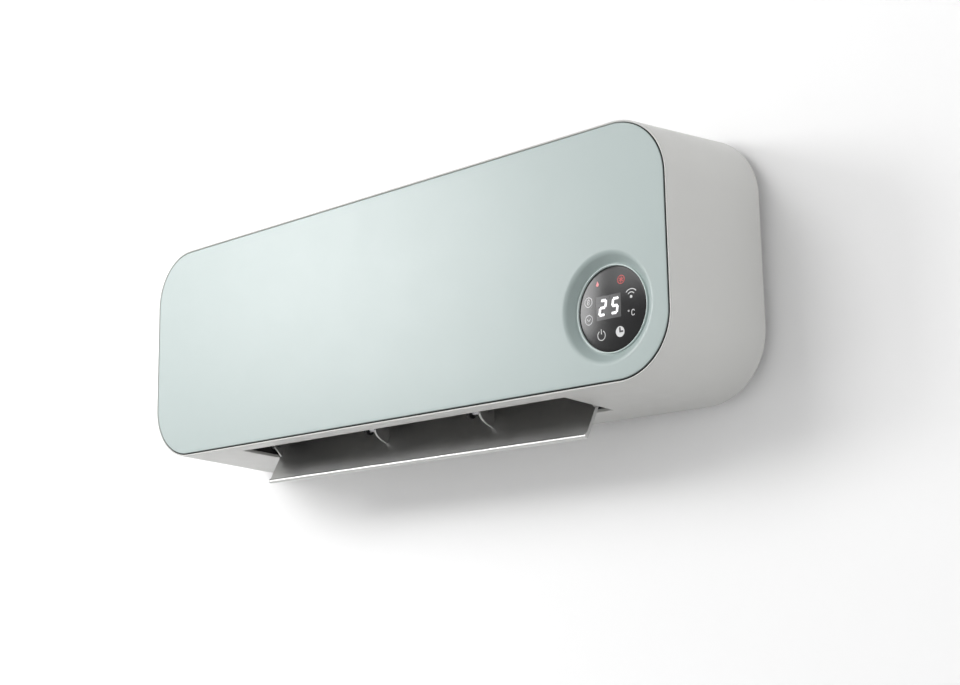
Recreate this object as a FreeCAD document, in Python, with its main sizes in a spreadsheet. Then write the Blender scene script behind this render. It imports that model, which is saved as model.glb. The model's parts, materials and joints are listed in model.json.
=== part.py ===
import FreeCAD, Part

# Wall-mounted fan convector heater: a flared rounded casing with a mint front panel, a round
# recessed touch display, a cross-flow fan over a ceramic heating element, and an air flap below.
# Origin: centre of the rear face, on the wall. +X to the viewer's right, -Y out into the room, +Z up.
# Lengths are in millimetres and angles in degrees.

import math
import os

import Sketcher
from FreeCAD import Placement, Rotation, Vector

DOC = FreeCAD.newDocument("fan_convector_heater")
SHEET = DOC.addObject("Spreadsheet::Sheet", "dims")
NODES = {}

SIZES = [
    # casing
    ("front_width", 528, "casing width at its front edge"),
    ("front_height", 169, "casing height at its front edge"),
    ("depth", 92, "front edge to wall"),
    ("flare", 6, "how far each side spreads between the front edge and the wall"),
    ("front_corner", 42, "corner radius at the front edge"),
    ("rear_corner", 47, "corner radius at the wall"),
    ("skin", 2.5, "moulded wall thickness"),
    ("lip", 1.2, "bright rim of the casing round the panel"),
    ("panel_gap", 1.0, "shadow gap round the panel"),
    ("panel_thick", 3, "front panel thickness"),
    ("panel_step", 3.3, "depth of the recess that takes the panel"),
    # display
    ("dial_x", 213.6, "display centre, right of the middle"),
    ("dial_z", -35.4, "display centre, below the middle"),
    ("dish_radius", 36.4, "outer radius of the dish in the panel"),
    ("dish_floor_radius", 29.6, "radius at the bottom of the dish"),
    ("dish_depth", 5.9, "dish depth"),
    ("dish_wall", 1.8, "wall of the dish behind the panel"),
    ("lens_radius", 27.2, "display lens radius"),
    ("lens_thick", 2, "display lens thickness"),
    ("board_thick", 1.6, "circuit board thickness"),
    # outlet and flap
    ("outlet_half", 166, "half the length of the air outlet"),
    ("outlet_front", -80, "front edge of the outlet"),
    ("outlet_rear", -30, "rear edge of the outlet"),
    ("pivot_y", -47.8, "flap pivot"),
    ("pivot_z", -78.4, "flap pivot"),
    ("flap_half", 163, "half the length of the flap"),
    ("flap_ahead", 30.6, "flap ahead of its pivot"),
    ("flap_behind", 17, "flap behind its pivot"),
    ("flap_drop", 7, "pivot to the inner face of the flap"),
    ("flap_root_thick", 2.8, "flap thickness at its rear edge"),
    ("flap_edge_thick", 2.6, "flap thickness at its free edge"),
    ("flap_open", 65.7, "opening angle of the flap as shown"),
    ("underside_slope", 3.73, "slope of the flared underside"),
    ("lug_radius", 4.2, "eye round the flap pivot"),
    ("lug_thick", 1.8, "flap lug thickness"),
    ("lug_reach", 10.2, "front rim of a middle lug, ahead of the pivot"),
    ("lug_rise", 8.4, "top of a middle lug above the pivot"),
    ("pin_radius", 2, "flap pin radius"),
    ("running_gap", 0.05, "radial clearance of a running fit"),
    ("lug_left_x", -39, "left middle lug"),
    ("lug_right_x", 68, "right middle lug"),
    ("hanger_offset", 17.5, "hanger, left of its lug"),
    # ducts
    ("duct_half", 167, "half the length between the duct ends"),
    ("duct_wall", 2, "duct wall thickness"),
    ("duct_rear_y", -27.5, "inner face of the rear duct wall"),
    ("duct_foot_z", -84, "lower edge of the ducts"),
    ("end_top", 50, "top of the duct ends"),
    # fan
    ("fan_y", -44, "fan axis"),
    ("fan_z", 14, "fan axis"),
    ("fan_radius", 28, "fan radius"),
    ("fan_half", 160, "half the length of the fan"),
    ("fan_gap", 5, "fan to scroll"),
    ("scroll_from", -60, "scroll start angle"),
    ("scroll_sweep", 130, "scroll sweep"),
    ("disc_thick", 2, "fan disc thickness"),
    ("blade_depth", 8, "radial depth of a blade"),
    ("blade_thick", 0.9, "blade thickness"),
    ("blade_count", 24, "blades round the fan"),
    ("shaft_radius", 3, "fan shaft radius"),
    ("hub_radius", 8, "fan hub radius"),
    ("hub_length", 14, "fan hub length"),
    ("motor_radius", 23, "fan motor radius"),
    ("motor_length", 42, "fan motor length"),
    ("motor_gap", 14, "duct end to fan motor"),
    # heating element
    ("heater_half", 150, "half the length of the finned block"),
    ("heater_z", -52, "underside of the finned block"),
    ("heater_height", 15, "height of the finned block"),
    ("heater_y", -78, "front of the finned block"),
    ("heater_width", 48, "width of the finned block"),
    ("core_width", 6, "width of a ceramic core"),
    ("fin_pitch", 5, "fin spacing"),
    ("fin_thick", 0.8, "fin thickness"),
    # intake
    ("intake_half", 190, "half the length of the air intake"),
    ("intake_front", -72, "front edge of the intake"),
    ("intake_rear", -14, "rear edge of the intake"),
    ("intake_top", 87.6, "height of the grille's middle"),
    ("intake_fit", 0.5, "gap round the grille"),
    ("intake_ledge", 3, "ledge below the grille"),
    ("grille_thick", 3, "grille thickness"),
    ("slat_count", 10, "grille slats"),
    ("slat_width", 2.2, "grille slat width"),
    # rear cover and fixings
    ("cover_thick", 3, "rear cover thickness"),
    ("screw_x", 232, "casing screws, from the middle"),
    ("screw_z", 64, "casing screws, from the middle"),
    ("duct_screw_x", 100, "duct screws, from the middle"),
    ("duct_screw_z", -56, "duct screws"),
    ("boss_radius", 5, "screw boss radius"),
    ("post_front", -70, "front end of the casing's screw posts"),
    ("post_rib", 30, "reach of the rib that ties a post to the casing"),
    ("well_radius", 4.2, "screw well radius"),
    ("well_depth", 6, "screw well depth"),
    ("screw_head", 3.6, "screw head radius"),
    ("screw_shank", 1.6, "screw shank radius"),
    ("screw_length", 12, "screw length below its head"),
    ("keyhole_x", 130, "keyholes, from the middle"),
    ("keyhole_z", 58, "keyhole entry"),
    ("keyhole_radius", 5, "keyhole entry radius"),
    ("keyhole_slot", 2.5, "half the width of the keyhole slot"),
    ("keyhole_rise", 10, "entry to the top of the slot"),
    # electronics bay, right of the duct
    ("board_left", 183, "control board, left edge"),
    ("board_right", 249, "control board, right edge"),
    ("board_low", -58, "control board, lower edge"),
    ("board_high", 57, "control board, upper edge"),
    ("board_y", -14.4, "rear face of the control board"),
    ("board_post", 6, "control board fixing, from the board's edge"),
    ("stepper_radius", 12, "flap motor radius"),
    ("stepper_rise", 7, "flap motor centre above its shaft"),
    ("stepper_length", 17, "flap motor length"),
    ("stepper_shaft", 2.5, "flap motor shaft radius"),
    # left side
    ("switch_y", -42, "power switch"),
    ("switch_z", -22, "power switch"),
    ("switch_tilt", 9, "rocker tilt either way"),
    ("rocker_pin", 1.2, "rocker pin radius"),
    ("gland_y", -18, "cable gland"),
    ("gland_z", -34, "cable gland"),
    ("gland_bore", 3.6, "cable gland bore radius"),
    ("gland_radius", 6.5, "cable gland body radius"),
    ("gland_length", 14, "cable gland length behind its flange"),
    ("gland_flange", 0.9, "cable gland flange thickness"),
]


def fill_sheet():
    """Write each driving dimension as a named cell."""
    for row, (name, number, meaning) in enumerate(SIZES, start=1):
        SHEET.set(f"A{row}", str(number))
        SHEET.setAlias(f"A{row}", name)
        SHEET.set(f"B{row}", "'" + meaning)
    DOC.recompute()


def size(name):
    return float(SHEET.get(name))


# ---------------------------------------------------------------- helpers

TURN = {
    "X": Rotation(Vector(0, 1, 0), 90),
    "Y": Rotation(Vector(1, 0, 0), -90),
    "Z": Rotation(),
}
ROLE = {"XY": "XY_Plane", "XZ": "XZ_Plane", "YZ": "YZ_Plane"}


def bind(item, **formulas):
    for prop, formula in formulas.items():
        item.setExpression(prop, str(formula))
    return item


def stand_at(item, place, turn=None):
    """Put an item at three formulas, after an optional fixed turn."""
    if turn is not None:
        item.Placement = Placement(Vector(), turn)
    for letter, formula in zip("xyz", place):
        item.setExpression(f"Placement.Base.{letter}", str(formula))
    return item


def box(name, low, span):
    item = DOC.addObject("Part::Box", name)
    bind(item, Length=span[0], Width=span[1], Height=span[2])
    return stand_at(item, low)


def rod(name, axis, start, radius, length):
    item = DOC.addObject("Part::Cylinder", name)
    bind(item, Radius=radius, Height=length)
    return stand_at(item, start, TURN[axis])


def cone(name, axis, start, radius_from, radius_to, length):
    item = DOC.addObject("Part::Cone", name)
    bind(item, Radius1=radius_from, Radius2=radius_to, Height=length)
    return stand_at(item, start, TURN[axis])


def fuse(name, items):
    item = DOC.addObject("Part::MultiFuse", name)
    item.Shapes = items
    return item


def cut(name, base, tools):
    item = DOC.addObject("Part::Cut", name)
    item.Base = base
    item.Tool = tools[0] if len(tools) == 1 else fuse(name + "_tools", tools)
    return item


def common(name, items):
    item = DOC.addObject("Part::MultiCommon", name)
    item.Shapes = items
    return item


def group(name, items):
    """Separate solids that share one node."""
    item = DOC.addObject("Part::Compound", name)
    item.Links = items
    return item


def node(label, item):
    item.Label = label
    NODES[label] = item
    return item


def free_sketch(name, y):
    """A sketch in a vertical plane parallel to the wall."""
    sketch = DOC.addObject("Sketcher::SketchObject", name)
    sketch.Placement = Placement(Vector(), Rotation(Vector(1, 0, 0), 90))
    sketch.setExpression("Placement.Base.y", y)
    return sketch


def body_sketch(body, name, plane, offset="0"):
    """A sketch on one of its body's own origin planes, moved along the plane's normal."""
    sketch = body.newObject("Sketcher::SketchObject", name)
    role = ROLE[plane]
    support = next(item for item in body.Origin.OriginFeatures if item.Role == role)
    sketch.AttachmentSupport = (support, [""])
    sketch.MapMode = "FlatFace"
    sketch.setExpression("AttachmentOffset.Base.z", offset)
    return sketch


def dimension(sketch, kind, where, guess, formula):
    """Add a driving constraint and bind it to a formula."""
    index = sketch.addConstraint(Sketcher.Constraint(kind, *where, guess))
    name = f"size{index}"
    sketch.renameConstraint(index, name)
    sketch.setExpression("Constraints." + name, str(formula))


def draw_circle(sketch, x, y, radius):
    circle = sketch.addGeometry(Part.Circle(Vector(10, 10, 0), Vector(0, 0, 1), 5))
    dimension(sketch, "Radius", (circle,), 5, radius)
    dimension(sketch, "DistanceX", (-1, 1, circle, 3), 10, x)
    dimension(sketch, "DistanceY", (-1, 1, circle, 3), 10, y)


def draw_polygon(sketch, points):
    """A closed outline through points given as pairs of formulas."""
    count = len(points)
    ring = [math.tau * turn / count for turn in range(count)]
    guess = [Vector(100 * math.cos(angle), 100 * math.sin(angle), 0) for angle in ring]
    lines = []
    for here in range(count):
        line = Part.LineSegment(guess[here], guess[(here + 1) % count])
        lines.append(sketch.addGeometry(line))
    for here in range(count):
        after = lines[(here + 1) % count]
        sketch.addConstraint(Sketcher.Constraint("Coincident", lines[here], 2, after, 1))
    for line, start, (x, y) in zip(lines, guess, points):
        dimension(sketch, "DistanceX", (-1, 1, line, 1), start.x, x)
        dimension(sketch, "DistanceY", (-1, 1, line, 1), start.y, y)


def draw_rectangle(sketch, left, right, low, high):
    draw_polygon(sketch, [(left, low), (right, low), (right, high), (left, high)])


def draw_rounded(sketch, width, height, radius, x="0", y="0"):
    """A rectangle with four equal round corners, centred on two formulas."""
    reach, rise, round_guess = 200, 80, 30
    inner_x, inner_y = reach - round_guess, rise - round_guess
    corners = [
        (inner_x, -inner_y, 270), (inner_x, inner_y, 0), (-inner_x, inner_y, 90), (-inner_x, -inner_y, 180),
    ]
    sides = [
        (-inner_x, -rise, inner_x, -rise),
        (reach, -inner_y, reach, inner_y),
        (inner_x, rise, -inner_x, rise),
        (-reach, inner_y, -reach, -inner_y),
    ]
    first = sketch.GeometryCount
    for (x0, y0, x1, y1), (centre_x, centre_y, start) in zip(sides, corners):
        sketch.addGeometry(Part.LineSegment(Vector(x0, y0, 0), Vector(x1, y1, 0)))
        circle = Part.Circle(Vector(centre_x, centre_y, 0), Vector(0, 0, 1), round_guess)
        sketch.addGeometry(Part.ArcOfCircle(circle, math.radians(start), math.radians(start + 90)))
    for step in range(8):
        here, after = first + step, first + (step + 1) % 8
        sketch.addConstraint(Sketcher.Constraint("Tangent", here, 2, after, 1))
    bottom, right, top, left = first, first + 2, first + 4, first + 6
    for line in (bottom, top):
        sketch.addConstraint(Sketcher.Constraint("Horizontal", line))
    for line in (right, left):
        sketch.addConstraint(Sketcher.Constraint("Vertical", line))
    for corner in (1, 3, 5):
        sketch.addConstraint(Sketcher.Constraint("Equal", first + corner, first + corner + 2))
    dimension(sketch, "Radius", (first + 1,), round_guess, radius)
    dimension(sketch, "DistanceX", (-1, 1, left, 1), -reach, f"({x}) - ({width}) / 2")
    dimension(sketch, "DistanceX", (-1, 1, right, 1), reach, f"({x}) + ({width}) / 2")
    dimension(sketch, "DistanceY", (-1, 1, bottom, 1), -rise, f"({y}) - ({height}) / 2")
    dimension(sketch, "DistanceY", (-1, 1, top, 1), rise, f"({y}) + ({height}) / 2")


def new_body(name):
    return DOC.addObject("PartDesign::Body", name)


def pad(body, sketch, length, backwards=False, both_ways=False):
    feature = body.newObject("PartDesign::Pad", sketch.Name + "_pad")
    feature.Profile = sketch
    feature.Reversed = backwards
    feature.Midplane = both_ways
    return bind(feature, Length=length)


def pocket(body, sketch, length, backwards=False):
    """Cut a sketch out of its body, and stop if nothing was removed."""
    DOC.recompute()
    before = body.Shape.Volume
    feature = body.newObject("PartDesign::Pocket", sketch.Name + "_pocket")
    feature.Profile = sketch
    feature.Reversed = backwards
    bind(feature, Length=length)
    DOC.recompute()
    if body.Shape.Volume > before - 0.01:
        raise RuntimeError(f"{feature.Name} removes nothing")
    return feature


def revolve(body, sketch, axis):
    feature = body.newObject("PartDesign::Revolution", sketch.Name + "_turned")
    feature.Profile = sketch
    feature.ReferenceAxis = (sketch, [axis])
    feature.Angle = 360
    return feature


# ---------------------------------------------------------------- casing

WELL_FLOOR = "(dims.well_depth + 2)"


def flared_solid(name, inset, front_y):
    """The casing's flared rounded block, drawn in by an inset and ending at front_y."""
    spread = f"2 * dims.flare * (1 + ({front_y}) / dims.depth) - 2 * ({inset})"
    front = free_sketch(name + "_front", front_y)
    draw_rounded(
        front, f"dims.front_width + {spread}", f"dims.front_height + {spread}",
        f"dims.front_corner - ({inset})",
    )
    rear = free_sketch(name + "_rear", "0")
    wide = f"2 * dims.flare - 2 * ({inset})"
    draw_rounded(
        rear, f"dims.front_width + {wide}", f"dims.front_height + {wide}", f"dims.rear_corner - ({inset})",
    )
    solid = DOC.addObject("Part::Loft", name)
    solid.Sections = [front, rear]
    solid.Solid = True
    solid.Ruled = True
    return solid


def intake_collar():
    """Walls and ledge that hang below the intake opening and carry the grille."""
    half, skin = "dims.intake_half", "dims.duct_wall"
    front, rear = "dims.intake_front", "dims.intake_rear"
    drop = 9
    outer = box(
        "collar_outer",
        (f"-{half} - {skin}", f"{front} - {skin}", f"dims.intake_top - {drop}"),
        (f"2 * {half} + 2 * {skin}", f"{rear} - {front} + 2 * {skin}", 2 * drop),
    )
    opening = box(
        "collar_opening",
        (f"-{half} + dims.intake_ledge", f"{front} + dims.intake_ledge", f"dims.intake_top - {2 * drop}"),
        (f"2 * {half} - 2 * dims.intake_ledge", f"{rear} - {front} - 2 * dims.intake_ledge", 4 * drop),
    )
    return cut("intake_collar", outer, [opening])


def intake_pocket():
    """The space of the grille: the opening down to a ledge that follows the sloping top."""
    deep = "dims.grille_thick + 0.3"
    block = DOC.addObject("Part::Box", "intake_pocket")
    bind(block, Length="2 * dims.intake_half", Width="dims.intake_rear - dims.intake_front", Height=20)
    block.Placement = Placement(Vector(), Rotation(Vector(1, 0, 0), size("underside_slope")))
    return stand_at(block, ("-dims.intake_half", "dims.intake_front", f"dims.intake_top - 1.9 - ({deep})"))


def casing():
    """Outer shell: flared block, hollow from the rear, with bosses, collar and openings."""
    outer = flared_solid("casing_block", "0", "-dims.depth")
    inner = flared_solid("casing_hollow", "dims.skin", "-dims.depth + dims.panel_step + dims.skin")
    shell = cut("casing_shell", outer, [inner])
    trim = flared_solid("casing_trim", "0", "-dims.depth")
    posts = []
    for x, z in casing_corners():
        posts.append(rod(
            "casing_post", "Y", (x, "dims.post_front", z), "dims.boss_radius",
            f"-dims.post_front - {WELL_FLOOR}",
        ))
        rib_low = f"{z} - ({z} < 0 ? dims.post_rib : 0)"
        posts.append(box(
            "post_rib", (f"{x} - 1", "dims.post_front", rib_low),
            (2, f"-dims.post_front - {WELL_FLOOR}", "dims.post_rib"),
        ))
    inside = common("casing_inside", [trim, fuse("casing_extras", posts + [intake_collar()])])
    whole = fuse("casing_whole", [shell, inside])

    recess = free_sketch("panel_recess", "-dims.depth")
    draw_rounded(
        recess,
        "dims.front_width - 2 * dims.lip",
        "dims.front_height - 2 * dims.lip",
        "dims.front_corner - dims.lip",
    )
    recess_block = DOC.addObject("Part::Extrusion", "recess_block")
    recess_block.Base = recess
    recess_block.DirMode = "Normal"
    recess_block.Reversed = True
    recess_block.Solid = True
    bind(recess_block, LengthFwd="dims.panel_step")

    tools = [recess_block, intake_pocket()]
    tools.append(rod(
        "dial_hole", "Y", ("dims.dial_x", "-dims.depth", "dims.dial_z"),
        "dims.dish_radius + dims.dish_wall + 1", "dims.panel_step + dims.skin + 1",
    ))
    tools.append(box(
        "outlet_hole",
        ("-dims.outlet_half", "dims.outlet_front", "-dims.front_height / 2 - dims.flare - 4"),
        ("2 * dims.outlet_half", "dims.outlet_rear - dims.outlet_front", 14),
    ))
    for x, z in casing_corners():
        start = (x, "-dims.well_depth - 2 - dims.screw_length - 4", z)
        tools.append(rod("post_hole", "Y", start, "dims.screw_shank + 0.1", "dims.screw_length + 10"))
    window = box("switch_hole", (-8, -6.6, -9.6), (16, 13.2, 19.2))
    tools.append(on_left_side("switch_window", window, "dims.switch_y", "dims.switch_z"))
    hole = rod("gland_hole", "X", (-8, 0, 0), "dims.gland_radius + 0.1", 16)
    tools.append(on_left_side("gland_opening", hole, "dims.gland_y", "dims.gland_z"))
    node("casing", cut("casing", whole, tools))


def casing_corners():
    return [(f"{side} * dims.screw_x", f"{level} * dims.screw_z") for side in (-1, 1) for level in (-1, 1)]


def side_turn():
    """Turns the wall's normal to that of the casing's flared left side."""
    return Rotation(Vector(0, 0, 1), size("underside_slope"))


def on_left_side(name, item, y, z):
    """Stand a piece drawn about the origin, with -X outwards, on the casing's left side."""
    held = group(name, [item])
    held.Placement = Placement(Vector(), side_turn())
    return stand_at(held, (f"-dims.front_width / 2 - dims.flare * (1 + {y} / dims.depth)", y, z))


def rear_cover():
    """Flat back plate with screw wells, keyholes and posts for the control board."""
    plate = new_body("rear_cover_plate")
    face = body_sketch(plate, "cover_outline", "XZ")
    grow = "2 * dims.flare - 2 * dims.skin - 1"
    draw_rounded(
        face, f"dims.front_width + {grow}", f"dims.front_height + {grow}",
        "dims.rear_corner - dims.skin - 0.5",
    )
    pad(plate, face, "dims.cover_thick")
    for side in (-1, 1):
        entry = body_sketch(plate, f"keyhole_entry_{'left' if side < 0 else 'right'}", "XZ")
        draw_circle(entry, f"{side} * dims.keyhole_x", "dims.keyhole_z", "dims.keyhole_radius")
        pocket(plate, entry, "dims.cover_thick", backwards=True)
        slot = body_sketch(plate, f"keyhole_slot_{'left' if side < 0 else 'right'}", "XZ")
        draw_rounded(
            slot,
            "2 * dims.keyhole_slot + 0.001",
            "dims.keyhole_rise + dims.keyhole_slot",
            "dims.keyhole_slot",
            f"{side} * dims.keyhole_x",
            "dims.keyhole_z + (dims.keyhole_rise + dims.keyhole_slot) / 2",
        )
        pocket(plate, slot, "dims.cover_thick", backwards=True)

    wells, bores = [], []
    spots = casing_corners() + [(f"{side} * dims.duct_screw_x", "dims.duct_screw_z") for side in (-1, 1)]
    for x, z in spots:
        wells.append(rod(
            "screw_well", "Y", (x, "-dims.well_depth - 2", z), "dims.well_radius + 1.6",
            "dims.well_depth + 1",
        ))
        bores.append(rod(
            "well_bore", "Y", (x, "-dims.well_depth", z), "dims.well_radius", "dims.well_depth + 1",
        ))
        bores.append(rod("screw_bore", "Y", (x, "-dims.well_depth - 3", z), "dims.screw_shank + 0.3", 6))
    posts, pilots = [], []
    for x, z in board_corners():
        posts.append(rod("board_post", "Y", (x, "dims.board_y", z), 3.5, "-dims.board_y - 1"))
        pilots.append(rod("board_pilot", "Y", (x, "dims.board_y - 1", z), 1.3, 10))
    node("rear_cover", cut("rear_cover", fuse("rear_cover_whole", [plate] + wells + posts), bores + pilots))


def board_corners():
    across = ("dims.board_left + dims.board_post", "dims.board_right - dims.board_post")
    upright = ("dims.board_low + dims.board_post", "dims.board_high - dims.board_post")
    return [(x, z) for x in across for z in upright]


def front_panel():
    """Glossy mint panel with a round dish for the display."""
    plate = new_body("panel_plate")
    face = body_sketch(plate, "panel_outline", "XZ", "dims.depth")
    inset = "2 * (dims.lip + dims.panel_gap)"
    corner = "dims.front_corner - dims.lip - dims.panel_gap"
    draw_rounded(face, f"dims.front_width - {inset}", f"dims.front_height - {inset}", corner)
    pad(plate, face, "dims.panel_thick", backwards=True)
    centre = ("dims.dial_x", "-dims.depth", "dims.dial_z")
    shell = cone(
        "dish_outside", "Y", centre,
        "dims.dish_radius + dims.dish_wall", "dims.dish_floor_radius + dims.dish_wall", "dims.dish_depth + 2",
    )
    hollow = cone("dish_hollow", "Y", centre, "dims.dish_radius", "dims.dish_floor_radius", "dims.dish_depth")
    hole = rod("dish_hole", "Y", centre, "dims.lens_radius + 0.6", 20)
    node("front_panel", cut("front_panel", fuse("panel_whole", [plate, shell]), [hollow, hole]))


# ---------------------------------------------------------------- display


def display():
    """Rim, smoked lens, board with its digits, touch springs and receiver, and the cup behind."""
    x, z = "dims.dial_x", "dims.dial_z"
    floor = "-dims.depth + dims.dish_depth"

    rim_body = new_body("display_ring")
    profile = body_sketch(rim_body, "rim_profile", "YZ")
    draw_polygon(profile, [
        ("-1.4", "dims.lens_radius + 0.1"),
        ("0", "dims.lens_radius + 0.1"),
        ("0", "dims.dish_floor_radius - 0.5"),
        ("-0.6", "dims.dish_floor_radius - 0.5"),
        ("-1.4", "dims.dish_floor_radius - 1.2"),
    ])
    revolve(rim_body, profile, "H_Axis")
    stand_at(rim_body, (x, floor, z))
    node("display_ring", rim_body)

    node(
        "display_lens",
        rod("display_lens", "Y", (x, f"{floor} - 0.9", z), "dims.lens_radius", "dims.lens_thick"),
    )

    rear_of_lens = f"{floor} - 0.9 + dims.lens_thick"
    board_y = f"{rear_of_lens} + 6"
    node(
        "display_board",
        rod("display_board", "Y", (x, board_y, z), "dims.lens_radius - 1", "dims.board_thick"),
    )
    digits = box("digit_block", (f"{x} - 10", f"{board_y} - 4.5", f"{z} - 4"), (20, 4.5, 12))
    node("digit_module", digits)

    springs = []
    for turn in range(5):
        angle = f"{180 + 45 * turn}"
        spot = (f"{x} + 20 * cos({angle})", f"{board_y} - 6", f"{z} + 20 * sin({angle})")
        coil = rod("touch_coil", "Y", spot, 2.4, 6)
        core = rod("touch_core", "Y", spot, 1.8, 6)
        springs.append(cut("touch_spring", coil, [core]))
    node("touch_springs", group("touch_springs", springs))
    node("ir_receiver", box("ir_receiver", (f"{x} + 6", f"{board_y} - 4", f"{z} + 11"), (5, 4, 6)))

    cup = rod("cup_outer", "Y", (x, f"{board_y}", z), "dims.lens_radius + 1.4", 6)
    hollow = rod(
        "cup_hollow", "Y", (x, f"{board_y} - 1", z), "dims.lens_radius - 0.8", "dims.board_thick + 1",
    )
    vent = rod("cup_vent", "Y", (x, f"{board_y}", z), "dims.lens_radius - 5", 10)
    skirt = rod(
        "cup_skirt", "Y", (x, "-dims.depth + dims.dish_depth + 2", z), "dims.lens_radius + 3.6", "0.9",
    )
    wall = rod("cup_wall", "Y", (x, "-dims.depth + dims.dish_depth + 2", z), "dims.lens_radius + 1.4", "6")
    bore = rod("cup_bore", "Y", (x, "-dims.depth + dims.dish_depth + 1", z), "dims.lens_radius - 0.5", "5.1")
    node("display_holder", cut("display_holder", fuse("cup", [cup, skirt, wall]), [hollow, vent, bore]))


# ---------------------------------------------------------------- ducts


def rear_duct():
    """Scroll round the back of the fan, running down into the rear wall of the outlet."""
    start = ("-dims.duct_half", "dims.fan_y", "dims.fan_z")
    length = "2 * dims.duct_half"
    outer = rod("scroll_outer", "X", start, "dims.fan_radius + dims.fan_gap + dims.duct_wall", length)
    inner = rod("scroll_inner", "X", start, "dims.fan_radius + dims.fan_gap", length)
    for item in (outer, inner):
        item.Placement = Placement(Vector(), scroll_turn())
        stand_at(item, start)
        bind(item, Angle="dims.scroll_sweep")
    ring = cut("scroll_ring", outer, [inner])
    wall = box(
        "rear_wall",
        ("-dims.duct_half", "dims.duct_rear_y", "dims.duct_foot_z - 1.8"),
        (length, "dims.duct_wall", "dims.fan_z - 28.6 - dims.duct_foot_z + 1.8"),
    )
    sill = box(
        "rear_sill",
        ("-dims.duct_half", "dims.duct_rear_y", "dims.duct_foot_z - 1.8"),
        (length, 8, 1.6),
    )
    bosses, pilots = [], []
    for side in (-1, 1):
        x = f"{side} * dims.duct_screw_x"
        bosses.append(rod(
            "duct_boss", "Y", (x, "dims.duct_rear_y + 1", "dims.duct_screw_z"),
            "dims.boss_radius - 0.5", "-dims.duct_rear_y - 1 - dims.well_depth - 2",
        ))
        pilots.append(rod(
            "duct_pilot", "Y", (x, "dims.duct_rear_y + 3", "dims.duct_screw_z"), "dims.screw_shank + 0.1",
            30,
        ))
    node("rear_duct", cut("rear_duct", fuse("rear_duct_whole", [ring, wall, sill] + bosses), pilots))


def scroll_turn():
    """Turns a cylinder along +X so that its opening angle starts at the scroll's lower end."""
    along_x = Rotation(Vector(0, 0, 1), Vector(1, 0, 0))
    first = along_x.multVec(Vector(1, 0, 0))
    now = math.degrees(math.atan2(first.z, first.y))
    return Rotation(Vector(1, 0, 0), size("scroll_from") - now).multiply(along_x)


def front_duct():
    """Front wall of the outlet with the lip that keeps the air from turning back."""
    length = "2 * dims.duct_half"
    wall = box(
        "front_wall",
        ("-dims.duct_half", "dims.outlet_front - dims.duct_wall", "dims.duct_foot_z + 2"),
        (length, "dims.duct_wall", "-6 - dims.duct_foot_z - 2"),
    )
    shelf = box(
        "tongue_shelf",
        ("-dims.duct_half", "dims.outlet_front - dims.duct_wall", "-8"),
        (length, 12, "dims.duct_wall"),
    )
    lip = rod("tongue_lip", "X", ("-dims.duct_half", "dims.outlet_front + 10", "-7"), 1.8, length)
    node("front_duct", fuse("front_duct", [wall, shelf, lip]))


def duct_ends():
    """Side plates that close the duct and carry the fan, the flap and the heating element."""
    for label, start, shaft_hole in (
        ("duct_end_left", "-dims.duct_half - dims.duct_wall", "9"),
        ("duct_end_right", "dims.duct_half", "10.1"),
    ):
        plate = new_body(label)
        face = body_sketch(plate, label + "_outline", "YZ", start)
        draw_polygon(face, [
            ("dims.outlet_front - dims.duct_wall", "dims.duct_foot_z + 2"),
            ("dims.duct_rear_y + dims.duct_wall", "dims.duct_foot_z - 2"),
            ("dims.duct_rear_y + dims.duct_wall", "-22"),
            ("-7", "-4"),
            ("-7", "dims.end_top - 18"),
            ("-24", "dims.end_top"),
            ("dims.outlet_front + 10", "dims.end_top"),
            ("dims.outlet_front - dims.duct_wall", "dims.end_top - 12"),
        ])
        pad(plate, face, "dims.duct_wall")
        eye = body_sketch(plate, label + "_shaft_hole", "YZ", start)
        draw_circle(eye, "dims.fan_y", "dims.fan_z", shaft_hole)
        pocket(plate, eye, "dims.duct_wall", backwards=True)
        pivot = body_sketch(plate, label + "_pivot_hole", "YZ", start)
        draw_circle(pivot, "dims.pivot_y", "dims.pivot_z", "dims.stepper_shaft + dims.running_gap")
        pocket(plate, pivot, "dims.duct_wall", backwards=True)
        if label == "duct_end_right":
            window = body_sketch(plate, "terminal_window", "YZ", start)
            draw_rectangle(
                window, "-66", "-42", "dims.heater_z + 1", "dims.heater_z + dims.heater_height - 1",
            )
            pocket(plate, window, "dims.duct_wall", backwards=True)
        node(label, plate)


def outlet_guard():
    """Finger guard below the heating element, with the hangers of the flap's middle pins."""
    low = "dims.heater_z - 5"
    span_y = "dims.duct_rear_y - dims.outlet_front"
    bars = [
        box("guard_bar", ("-dims.duct_half", f"dims.outlet_front + {step} * ({span_y} - 1.6) / 5", low),
            ("2 * dims.duct_half", 1.6, 2))
        for step in range(6)
    ]
    ribs = [
        box(
            "guard_rib",
            (f"-dims.duct_half + {step} * (2 * dims.duct_half - 2) / 8", "dims.outlet_front", low),
            (2, span_y, 3),
        )
        for step in range(9)
    ]
    hangers, eyes = [], []
    for lug in ("dims.lug_left_x", "dims.lug_right_x"):
        x = f"{lug} - dims.hanger_offset"
        hangers.append(box("hanger_beam", (x, "dims.outlet_front", low), (2.4, span_y, 3)))
        hangers.append(box(
            "hanger_leg", (x, "dims.pivot_y - 3", "dims.pivot_z"), (2.4, 6, f"{low} - dims.pivot_z + 1"),
        ))
        hangers.append(rod("hanger_eye", "X", (x, "dims.pivot_y", "dims.pivot_z"), "dims.lug_radius", 2.4))
        eyes.append(rod("hanger_bore", "X", (f"{x} - 1", "dims.pivot_y", "dims.pivot_z"),
                        "dims.pin_radius + dims.running_gap", 5))
    node("outlet_guard", cut("outlet_guard", fuse("guard_whole", bars + ribs + hangers), eyes))


# ---------------------------------------------------------------- fan


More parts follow.
